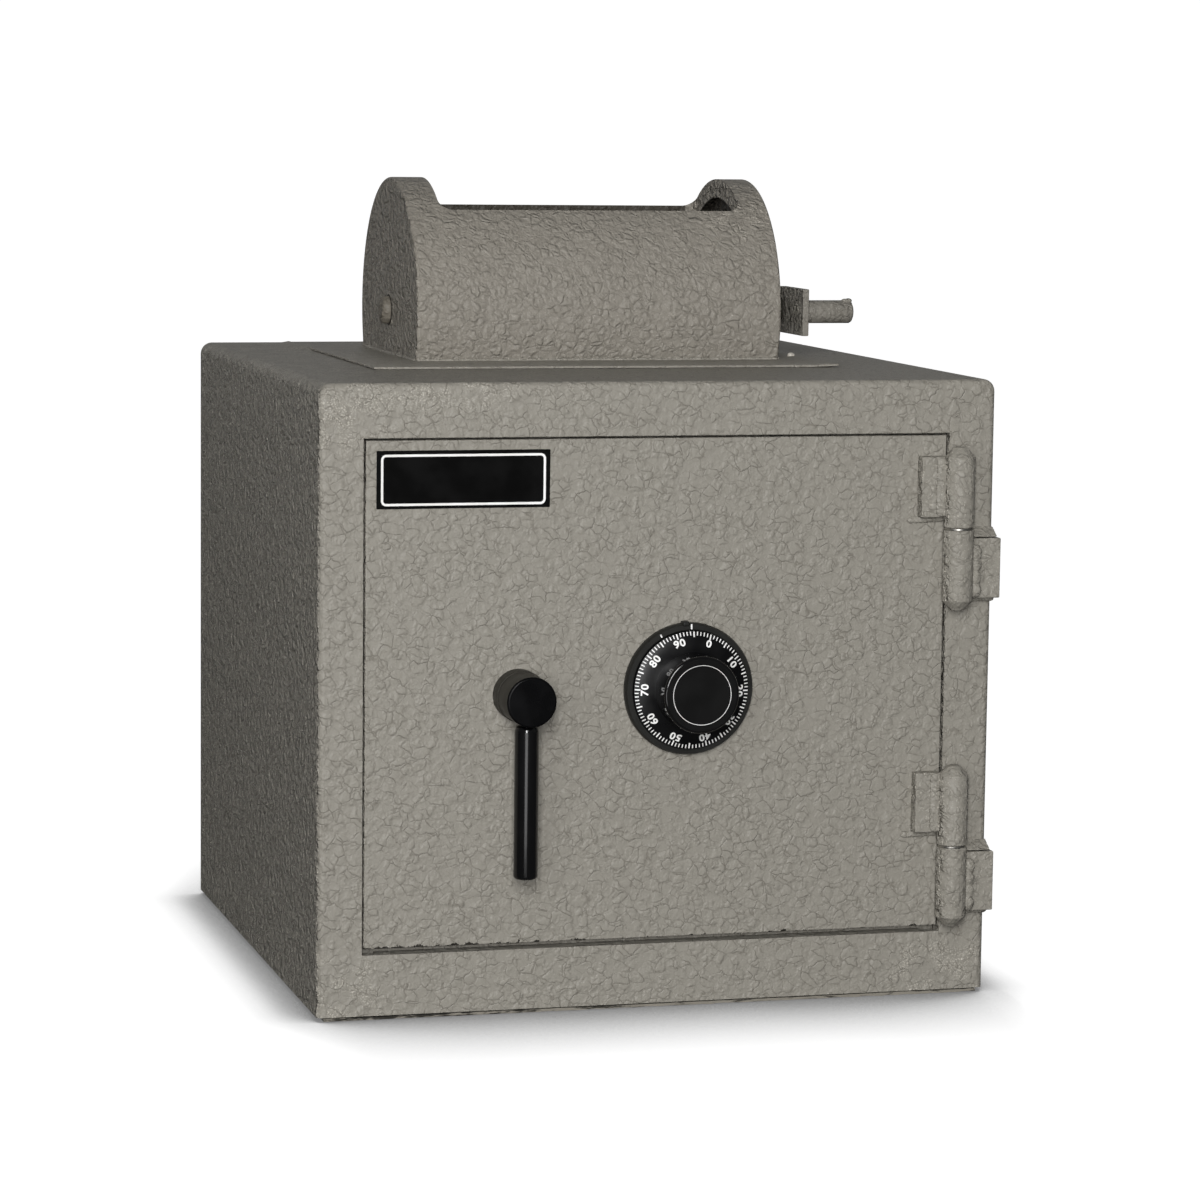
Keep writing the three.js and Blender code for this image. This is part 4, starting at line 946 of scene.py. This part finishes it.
stub_profile = [(2.0, -126.4), (5.5, -126.2), (7.8, -125.6), (8.9, -124.6), (9.4, -123.2), (9.5, -120.5),
                (AXLE_R, -120.3), (AXLE_R, DRUM_LEFT)]
stub = turned("axle_stub", "X", AXIS, stub_profile, 64)
fit(stub, "drum", stub_enamel, "crinkle_enamel", "axle_left", weighted=False)
# Painted shade: a thin dark ring stands for the shade in the gap round the dome.
shade_ring = open_ring("stub_shade_ring", "X", AXIS, 10.6, AXLE_HOLE_R, -120.2, -119.7)
fit(shade_ring, "safe_body", axle_paint, "crinkle_enamel", weighted=False)
axle = rod("axle_bar", "X", AXIS, AXLE_R, DRUM_RIGHT, ARM_LEFT, 64)
soften(axle, 0.5)
fit(axle, "drum", axle_paint, "crinkle_enamel", "axle_right")
bush = open_ring("axle_collar", "X", AXIS, 11, AXLE_HOLE_R, HOOD_RIGHT, 152)
soften(bush, 0.8)
fit(bush, "safe_body", axle_paint, "crinkle_enamel", "axle_bush")

# %% Crank
ARM_H = 32.5
ARM_FRONT = 1.5
ARM_REAR = 69.25
ARM_ROUND = 16.2
GRIP_Y = 16.5
GRIP_R = 8.0
GRIP_END = 202.3

arm = block(
    "crank_flat", (ARM_LEFT, ARM_FRONT, AXIS_Z - ARM_H / 2), (ARM_RIGHT, ARM_REAR, AXIS_Z + ARM_H / 2))
round_edges(arm, ARM_ROUND, 16, lambda at, way: abs(way.x) > 0.9 and at.y > 69)
soften(arm, 0.7, 3, 40)
fit(arm, "drum", crank_enamel, "crinkle_enamel", "crank_arm")
grip_profile = [(3.0, GRIP_END), (6.0, GRIP_END - 0.3), (7.2, GRIP_END - 0.9), (GRIP_R, GRIP_END - 2.2),
                (GRIP_R, ARM_RIGHT)]
grip = turned("crank_handle", "X", (0, GRIP_Y, AXIS_Z), grip_profile, 64)
fit(grip, "drum", crank_enamel, "crinkle_enamel", "crank_grip", weighted=False)
tip_y, tip_z = GRIP_Y - 1, AXIS_Z + GRIP_R
weld_bead("weld_grip_tip", (197.0, tip_y, tip_z - 0.6), (199.6, tip_y, tip_z - 0.3),
          (2.6, 2.8, 1.7), "drum", 21, 0.35, 0.05)
spot_x = ARM_LEFT + 0.3
weld_bead("weld_arm_spot", (spot_x, GRIP_Y - 1, AXIS_Z + 1.6), (spot_x, GRIP_Y + 2, AXIS_Z + 2.0),
          (1.1, 4.6, 4.4), "drum", 22, 0.35, 0.3)

# %% [markdown]
# ## The hinges
#
# Each hinge is a pair of bullets on one pin. The upper bullet is welded to the door through a short
# leaf, and the lower one to the case, so that the open door lifts off. A bright washer shows between
# them. The bullets are lathe shapes with round noses. The leaves are blocks with broken edges, and thick
# wavy beads fill the corners between leaf and bullet.

# %% Hinges
HINGE_X = 195.0
HINGE_Y = -229.0
HINGES = {"lower": 100.5, "upper": 306.0}
BULLET_LIFT = {"lower": 0.0, "upper": 1.6}
BARREL_R = 10.0
BARREL_LIP_R = 9.3
PIN_BORE = 5.9
PIN_DEPTH = 34.4
WASHER_R = 9.0
WASHER_BORE = 5.6
WASHER_HALF = 0.45
LEAF_FRONT = -228.5
BODY_LEAF = (199, 224.5)
DOOR_LEAF = (169.8, 187.5)


def nose(shoulder, side, length=6.5):
    """The points of a bullet's nose from its tip to its shoulder."""
    shape = [(3.4, 1.0), (4.0, 0.98), (4.5, 0.92), (9.2, 0.14), (9.6, 0.07), (9.9, 0.01), (10.0, -0.06)]
    return [(radius, shoulder + side * length * share) for radius, share in shape]


def bullets(tag, joint):
    """The two barrels and the washer between them. The lower one rides on the case, the upper on the door."""
    centre = (HINGE_X, HINGE_Y, 0)
    lower = nose(joint - 46.5, -1) + [(BARREL_R, joint - 1.5), (BARREL_LIP_R, joint - 0.75)]
    fit(turned("bullet_body_" + tag, "Z", centre, lower, 64), "safe_body", fitting_enamel,
        "crinkle_enamel", "hinge_body_barrel_" + tag, weighted=False)
    upper = nose(joint + 46.25, 1) + [(BARREL_R, joint + 1.5), (BARREL_LIP_R, joint + 0.75),
                                      (PIN_BORE, joint + 0.75), (PIN_BORE, joint + PIN_DEPTH)]
    fit(turned("bullet_door_" + tag, "Z", centre, upper, 64), "door", fitting_enamel,
        "crinkle_enamel", "hinge_door_barrel_" + tag, weighted=False)
    shim = open_ring("washer_" + tag, "Z", centre, WASHER_R, WASHER_BORE, joint - WASHER_HALF,
                  joint + WASHER_HALF, 48)
    fit(shim, "safe_body", washer_metal, "zinc_steel", "hinge_washer_" + tag)


def leaf(kind, tag, body, sides, low, high):
    """One of a hinge's two leaves: a short block welded to the case or the door."""
    made = block("leaf_" + kind + "_" + tag, (sides[0], LEAF_FRONT, low), (sides[1], FACE_Y, high))
    soften(made, 0.8)
    fit(made, body, fitting_enamel, "crinkle_enamel", "hinge_" + kind + "_leaf_" + tag)


for tag, z in HINGES.items():
    bullets(tag, z + BULLET_LIFT[tag])
    leaf("body", tag, "safe_body", BODY_LEAF, z - 44, z - 5)
    leaf("door", tag, "door", DOOR_LEAF, z + 9, z + 48)

# %% [markdown]
# The welds are the hinges' character. A long bead joins each leaf to its bullet, a low one runs under
# each leaf, and above each leaf of the case a sloped heap of weld metal runs down to the face.

# %% Hinge welds
RAMP_WANDER_MM = 0.45


def weld_ramp(name, low, high, body, seed):
    """A heap of weld metal that falls from the face: a block with its top front edge pulled down."""
    piece = block(name, low, high)
    pick(piece, "EDGE", lambda at, way: at.y < low[1] + 0.1 and at.z > high[2] - 0.1)
    bpy.ops.transform.translate(value=(0, 0, (low[2] - high[2] + 0.6) * MM))
    bpy.ops.mesh.select_all(action="SELECT")
    bpy.ops.mesh.subdivide(number_cuts=8)
    bpy.ops.transform.vertex_random(offset=RAMP_WANDER_MM * MM, seed=seed)
    bpy.ops.object.mode_set(mode="OBJECT")
    melt_together(piece, MELT_MM)
    return fit(piece, body, fitting_enamel, "crinkle_enamel", smooth=80, weighted=False)


for number, (tag, z) in enumerate(HINGES.items()):
    weld_bead("weld_leaf_body_" + tag, (206.2, -230.6, z - 38), (206.2, -230.6, z - 14),
              (4.4, 3.6, 5.2), "safe_body", 31 + number, 0.45, 0.7, 1.45)
    weld_bead("weld_leaf_door_" + tag, (183.4, -229.1, z + 13), (183.4, -229.1, z + 44),
              (4.2, 1.5, 3.8), "door", 41 + number, 0.45, 0.3)
    weld_bead("weld_foot_body_" + tag, (202, FACE_Y - 1.2, z - 45), (221.0, FACE_Y - 1.2, z - 45),
              (2.4, 2.0, 2.0), "safe_body", 51 + number)
    weld_bead("weld_foot_door_" + tag, (166, FACE_Y - 0.4, z + 6.6), (185, FACE_Y - 0.6, z + 7.2),
              (3.2, 1.8, 2.2), "door", 61 + number)
    weld_ramp("weld_ramp_" + tag, (206.5, LEAF_FRONT + 1.2, z - 4.2), (222, FACE_Y + 0.2, z + 2),
              "safe_body", 71 + number)

# %% [markdown]
# ## The handle
#
# A collar is welded to the door, and a black-faced hub turns in front of it with a round lever hanging
# straight down. All three are lathe shapes. The hub's side wears a greyer paint than its face, so side
# and face are two pieces.

# %% Handle
HANDLE_AXIS = (HANDLE_X, 0, HANDLE_Z)
COLLAR_R = 16.5
COLLAR_FRONT = -231.0
HUB_R = 16.0
HUB_FRONT = -256.3
LEVER_Y = -243.0
LEVER_R = 7.7
NECK_R = 5.0
LEVER_LOW = 92.0

foot_ring = rod("handle_ring", "Y", HANDLE_AXIS, COLLAR_R, COLLAR_FRONT, FACE_Y, 96)
carve(foot_ring, rod("eye", "Y", HANDLE_AXIS, HANDLE_BORE_R, COLLAR_FRONT - 5, FACE_Y + 5, 48))
soften(foot_ring, 0.6)
fit(foot_ring, "door", hub_paint, "gloss_black", "handle_collar")

hub_profile = [(15.4, -231.3), (HUB_R, -231.9), (HUB_R, -254.9), (15.0, -254.9)]
hub_side = turned("hub_side", "Y", HANDLE_AXIS, hub_profile, 96)
fit(hub_side, "handle", hub_paint, "gloss_black", "handle_hub")
face_profile = [(15.98, -254.85), (15.98, -255.1), (15.7, -255.7), (15.2, -256.1), (14.6, HUB_FRONT)]
hub_face = turned("hub_face", "Y", HANDLE_AXIS, face_profile, 96)
fit(hub_face, "handle", hub_black, "gloss_black", "handle_hub")

lever_profile = [(5.6, LEVER_LOW), (6.7, LEVER_LOW + 0.4), (7.4, LEVER_LOW + 1.2), (LEVER_R, LEVER_LOW + 2.3),
                 (LEVER_R, 185.6), (7.5, 187.0), (6.8, 188.6), (5.6, 189.4), (NECK_R, 189.6),
                 (NECK_R, 205.4)]
lever = turned("lever_bar", "Z", (HANDLE_X, LEVER_Y, 0), lever_profile, 96)
fit(lever, "handle", lever_black, "gloss_black", "handle_lever")

# %% [markdown]
# ## The dial
#
# A fixed black ring carries a white index line and a small stop at its top. Inside it the dial turns: a
# skirt with a hundred marks and ten numbers, and a round knob to hold. The ring, skirt and knob are lathe
# shapes.

# %% Dial ring
DIAL_AXIS = (DIAL_X, 0, DIAL_Z)
RING_R = 42.4
RING_FRONT = -225.0
RING_INNER_R = 38.5
SPINDLE_HOLE_R = 4.5

ring_profile = [(RING_R, FACE_Y), (RING_R, -222), (42.2, -223.2), (41.4, RING_FRONT),
                (RING_INNER_R, RING_FRONT), (RING_INNER_R, -223)]
ring = turned("index_ring", "Y", DIAL_AXIS, ring_profile, 128)
carve(ring, rod("eye", "Y", DIAL_AXIS, SPINDLE_HOLE_R, -230, -210, 48))
fit(ring, "door", ring_black, "gloss_black", "dial_ring")
stop = block("ring_stop", (DIAL_X - 5.4, -226.2, DIAL_Z + 40.6), (DIAL_X - 0.9, FACE_Y, DIAL_Z + 43.6))
soften(stop, 0.9)
fit(stop, "door", ring_black, "gloss_black", "dial_ring")

# %% Skirt and knob
SKIRT_R = 37.8
SKIRT_EDGE_Y = -228.0
SKIRT_TOP_Y = -232.0
KNOB_R = 24.75
KNOB_FRONT = -252.5
CAP_R = 22.8

skirt_profile = [(37.4, -224), (SKIRT_R, -224.4), (SKIRT_R, SKIRT_EDGE_Y + 0.3), (37.5, SKIRT_EDGE_Y),
                 (KNOB_R - 0.5, SKIRT_TOP_Y)]
skirt = turned("dial_skirt", "Y", DIAL_AXIS, skirt_profile, 128)
fit(skirt, "dial", dial_black, "gloss_black", "dial_knob")
knob_profile = [(KNOB_R, -231.2), (KNOB_R, -250.8), (24.4, -251.7), (23.7, -252.3), (22.9, KNOB_FRONT)]
knob = turned("dial_grip", "Y", DIAL_AXIS, knob_profile, 128)
fit(knob, "dial", knob_gloss, "gloss_black", "dial_knob")
cap_profile = [(CAP_R, KNOB_FRONT + 0.2), (CAP_R, KNOB_FRONT - 0.02), (CAP_R - 0.2, KNOB_FRONT - 0.04)]
cap = turned("dial_cap", "Y", DIAL_AXIS, cap_profile, 128)
fit(cap, "dial", knob_black, "gloss_black", "dial_knob")

# %% [markdown]
# The marks lie on the skirt's cone. Each one is a thin strip, made once at twelve o'clock and turned to
# its place. Every fifth mark is longer and wider. The dial stands a little past its zero, as someone
# left it.

# %% Dial marks
SLOPE = math.atan2(SKIRT_EDGE_Y - SKIRT_TOP_Y, SKIRT_R - KNOB_R)
MARKS = 100
MARK_TURN = 360 / MARKS
MARK_OUT = 37.5
LONG_MARK = (3.5, 0.9)
SHORT_MARK = (2.4, 0.7)
ZERO_AT = 19.7


def cone_y(radius):
    """How far forward the skirt's surface is at a radius."""
    return SKIRT_EDGE_Y - (SKIRT_R - radius) * math.tan(SLOPE)


def turn_on_dial(piece, degrees):
    """Turns a piece clockwise about the dial's axis, as seen from the front."""
    only(piece)
    centre = Matrix.Translation(Vector(DIAL_AXIS) * MM)
    turn = Matrix.Rotation(math.radians(degrees), 4, "Y")
    piece.matrix_world = centre @ turn @ centre.inverted() @ piece.matrix_world
    bpy.ops.object.transform_apply(location=True, rotation=True, scale=True)


def strip(name, inner, outer, width, degrees, lift=0.06, y_at=cone_y, tilt=SLOPE):
    """A printed strip from one radius to another, lying on the slope."""
    middle = (inner + outer) / 2
    place = Vector((DIAL_X, y_at(middle) - lift / 2, DIAL_Z + middle)) * MM
    bpy.ops.mesh.primitive_cube_add(size=1, location=place)
    made = bpy.context.object
    made.scale = Vector((width, lift, (outer - inner) / math.cos(tilt))) * MM
    made.rotation_euler = (-tilt, 0, 0)
    made = settle(name)
    turn_on_dial(made, degrees)
    return made


def join(name, parts):
    """Makes one object of several."""
    bpy.ops.object.select_all(action="DESELECT")
    for part in parts:
        part.select_set(True)
    bpy.context.view_layer.objects.active = parts[0]
    bpy.ops.object.join()
    parts[0].name = name
    return parts[0]


marks = []
for number in range(MARKS):
    length, width = LONG_MARK if number % 5 == 0 else SHORT_MARK
    marks.append(strip("mark", MARK_OUT - length, MARK_OUT, width, ZERO_AT + number * MARK_TURN))
fit(join("dial_marks", marks), "dial", white_print, "gloss_black", "dial_knob", weighted=False)

# %% [markdown]
# The numbers are text turned into mesh, tipped to the skirt's slope and turned to their marks. Their
# lines are made a little bolder and wider than the plain letters, as print on a curved cone needs.

# %% Dial numbers
NUMBER_R = 31.2
NUMBER_SIZE = 6.5
NUMBER_WIDE = 1.12
NUMBER_BOLD = 0.2
NUMBER_THICK = 0.05


def dial_number(value):
    """One number, with its top towards the rim."""
    bpy.ops.object.text_add()
    made = bpy.context.object
    made.data.body = str(value)
    made.data.align_x = "CENTER"
    made.data.align_y = "CENTER"
    made.data.size = NUMBER_SIZE * MM
    made.data.offset = NUMBER_BOLD * MM
    made.data.space_character = NUMBER_WIDE
    made.data.extrude = NUMBER_THICK * MM
    made.data.resolution_u = 4
    bpy.ops.object.convert(target="MESH")
    made = bpy.context.object
    made.location = Vector((DIAL_X, cone_y(NUMBER_R), DIAL_Z + NUMBER_R)) * MM
    made.rotation_euler = (math.pi / 2 - SLOPE, 0, 0)
    made.scale = (NUMBER_WIDE, 1, 1)
    made = settle("number_%02d" % value)
    turn_on_dial(made, ZERO_AT + value * MARK_TURN)
    return made


numbers = join("dial_numbers", [dial_number(value) for value in range(0, MARKS, 10)])
fit(numbers, "dial", white_print, "gloss_black", "dial_knob", weighted=False)

# %% [markdown]
# Two lines of print are left: the index line with its second mark on the fixed ring, and a thin circle
# on the knob's face.

# %% Index and circle
INDEX_FROM = 38.6
CIRCLE_R = 19.1
CIRCLE_INNER_R = 18.75


def ring_y(radius):
    """The ring's front is flat, so every radius lies equally far forward."""
    return RING_FRONT


index = strip("index_line", INDEX_FROM, 41.9, 1.0, 0.6, 0.1, ring_y, 0.0)
second = strip("index_mark", INDEX_FROM, 40.7, 0.9, -29.5, 0.1, ring_y, 0.0)
fit(join("index_marks", [index, second]), "door", white_print, "gloss_black", "dial_ring", weighted=False)
circle = open_ring(
    "knob_line", "Y", DIAL_AXIS, CIRCLE_R, CIRCLE_INNER_R, KNOB_FRONT - 0.07, KNOB_FRONT + 0.2, 128)
fit(circle, "dial", white_print, "gloss_black", "dial_knob", weighted=False)

# %% [markdown]
# ## Everything behind the door
#
# The bolt work, the lock and the door stops keep the engineering model's own shapes, which are right.
# Each of them only needs its real surface, which the name of its plain material tells.

# %% Finishes for the kept parts
SURFACES = {
    "crinkle_enamel": case_enamel,
    "gloss_black": lever_black,
    "label_black": label_black,
    "steel": drawn_steel,
    "zinc_steel": zinc_plate,
    "brass": turned_brass,
    "cast_zinc": cast_zinc,
}
kept = 0
for name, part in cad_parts.items():
    for place in part.material_slots:
        plain = place.material.name.split(".")[0]
        if plain in SURFACES:
            place.material = SURFACES[plain]
            kept += 1
print("surfaces given to the frame's own parts:", kept)

# %% [markdown]
# ## The studio
#
# The safe stands on a white table in even light. The main lamp is just left of the viewer, a weaker one
# is further left, and a small one that only shows in reflections puts the bright line on the lever. Two
# faint suns behind and to the right lighten the far sides.

# %% Lamps
KEY_TURN = math.radians(-15.5)
KEY_TILT = math.radians(14)
KEY_FAR = 4.0
KEY_SIZE = (0.75, 2.0)
KEY_LIGHT = 2.45
SIDE_TURN = math.radians(-38)
SIDE_SIZE = (1.4, 2.0)
SIDE_LIGHT = 0.42
GLINT_TILT = math.radians(-4)
GLINT_FAR = 0.6
GLINT_SIZE = (0.25, 0.2)
GLINT_LIGHT = 0.4
SUNS = (
    ("fill_lamp", math.radians(155), math.radians(10), 0.05),
    ("rear_lamp", math.radians(128), 0, 0.7))
SUN_WIDE = math.radians(20)
MIDDLE = Vector((0, 0, 0.22))
LEVER_MIDDLE = Vector((-0.094, -0.243, 0.14))


def place_lamp(name, kind, turn, tilt, far, middle=MIDDLE):
    """Adds a lamp that shines at the middle of the safe from a turn and a tilt."""
    way = seen_from(turn, tilt)
    aim = way.to_track_quat("Z", "Y").to_euler()
    bpy.ops.object.light_add(type=kind, location=middle + way * far, rotation=aim)
    lamp = bpy.context.object
    lamp.name = name
    return lamp


def softbox(lamp, size, light, far):
    """Makes a lamp a rectangle that gives the middle of the safe this much light."""
    lamp.data.shape = "RECTANGLE"
    lamp.data.size, lamp.data.size_y = size
    lamp.data.energy = light * math.pi * far ** 2


key = place_lamp("key_lamp", "AREA", KEY_TURN, KEY_TILT, KEY_FAR)
softbox(key, KEY_SIZE, KEY_LIGHT, KEY_FAR)
side = place_lamp("side_lamp", "AREA", SIDE_TURN, KEY_TILT, KEY_FAR)
softbox(side, SIDE_SIZE, SIDE_LIGHT, KEY_FAR)
side.visible_glossy = False
glint = place_lamp("glint_strip", "AREA", KEY_TURN, GLINT_TILT, GLINT_FAR, LEVER_MIDDLE)
softbox(glint, GLINT_SIZE, GLINT_LIGHT, GLINT_FAR)
glint.visible_diffuse = False
glint.visible_camera = False
for name, turn, tilt, light in SUNS:
    sun = place_lamp(name, "SUN", turn, tilt, 3)
    sun.data.energy = light
    sun.data.angle = SUN_WIDE
    sun.visible_glossy = False

# %% [markdown]
# The world is white to the viewer, faint in reflections and dim as light. The floor is white too, and a
# soft painted shadow darkens its glow where the safe is near, reaching further in front than at the sides.
# A white backdrop closes the view and lets the suns through. The top of the case mirrors it faintly,
# because it is seen almost edge on. All three are white only to the viewer and in reflections: the light
# that falls on the safe stays at a plain level.

# %% World
AMBIENT = 0.09
MIRRORED = 0.12
WHITE = srgb("FFFFFF")

world = bpy.data.worlds.new("studio")
bpy.context.scene.world = world
world.use_nodes = True
tree = world.node_tree
path = node(tree, "LightPath").node.outputs
seen = node(tree, "Math", (path["Is Camera Ray"], path["Is Transmission Ray"]), **PLUS)
mirrored = node(tree, "Math", (path["Is Glossy Ray"], MIRRORED), **TIMES)
shown = node(tree, "Math", (seen, mirrored), **LARGER)
background = tree.nodes["Background"]
background.inputs["Color"].default_value = WHITE
tree.links.new(node(tree, "Math", (shown, AMBIENT), **LARGER), background.inputs["Strength"])

# %% Table and backdrop
SHEET_GREY = srgb("7C7C7C")
FRONT_REACH = 0.15
SIDE_REACH = 0.045
SHADOW_LEAST = 0.16
BACKDROP_MIRRORED = 0.36


def dress_sheet(name, surface):
    """Names the new plane and gives it a matt surface whose white is only shown, not lit."""
    sheet = bpy.context.object
    sheet.name = name
    made, tree, shader, place = finish(surface, 0.9, 0.0)
    shader.inputs["Base Color"].default_value = SHEET_GREY
    shader.inputs["Emission Color"].default_value = WHITE
    sheet.data.materials.append(made)
    return sheet, tree, shader.inputs["Emission Strength"], place


bpy.ops.mesh.primitive_plane_add(size=14)
floor, tree, glow, place = dress_sheet("table_top", "table_white")
path = node(tree, "LightPath").node.outputs
# Painted shadow: an occlusion measure dims the floor's glow near the safe, over a longer reach in front than
# at the sides.
across = node(tree, "Math", [node(tree, "SeparateXYZ", [place])], **UNSIGNED)
reach = node(tree, "MapRange", (across, 0.20, 0.25, FRONT_REACH, SIDE_REACH), **SOFT)
near = node(tree, "AmbientOcclusion", {"Distance": reach}, "AO", samples=8)
shadowed_glow = node(tree, "Math", (node(tree, "MapRange", {"Value": near, "From Min": 0.5}), 0.85), operation="POWER")
shadowed_glow = node(tree, "Math", (shadowed_glow, 1 - SHADOW_LEAST), **TIMES)
shadowed_glow = node(tree, "Math", (shadowed_glow, SHADOW_LEAST), **PLUS)
tree.links.new(node(tree, "Math", (shadowed_glow, path["Is Camera Ray"]), **TIMES), glow)

bpy.ops.mesh.primitive_plane_add(size=22, location=(0, 7.3, 3), rotation=(math.pi / 2, 0, 0))
backdrop, tree, glow, place = dress_sheet("backdrop", "backdrop_white")
path = node(tree, "LightPath").node.outputs
mirrored = node(tree, "Math", (path["Is Glossy Ray"], BACKDROP_MIRRORED), **TIMES)
tree.links.new(node(tree, "Math", (path["Is Camera Ray"], mirrored), **LARGER), glow)
backdrop.visible_shadow = False
print("stage:", floor.name, "and", backdrop.name)
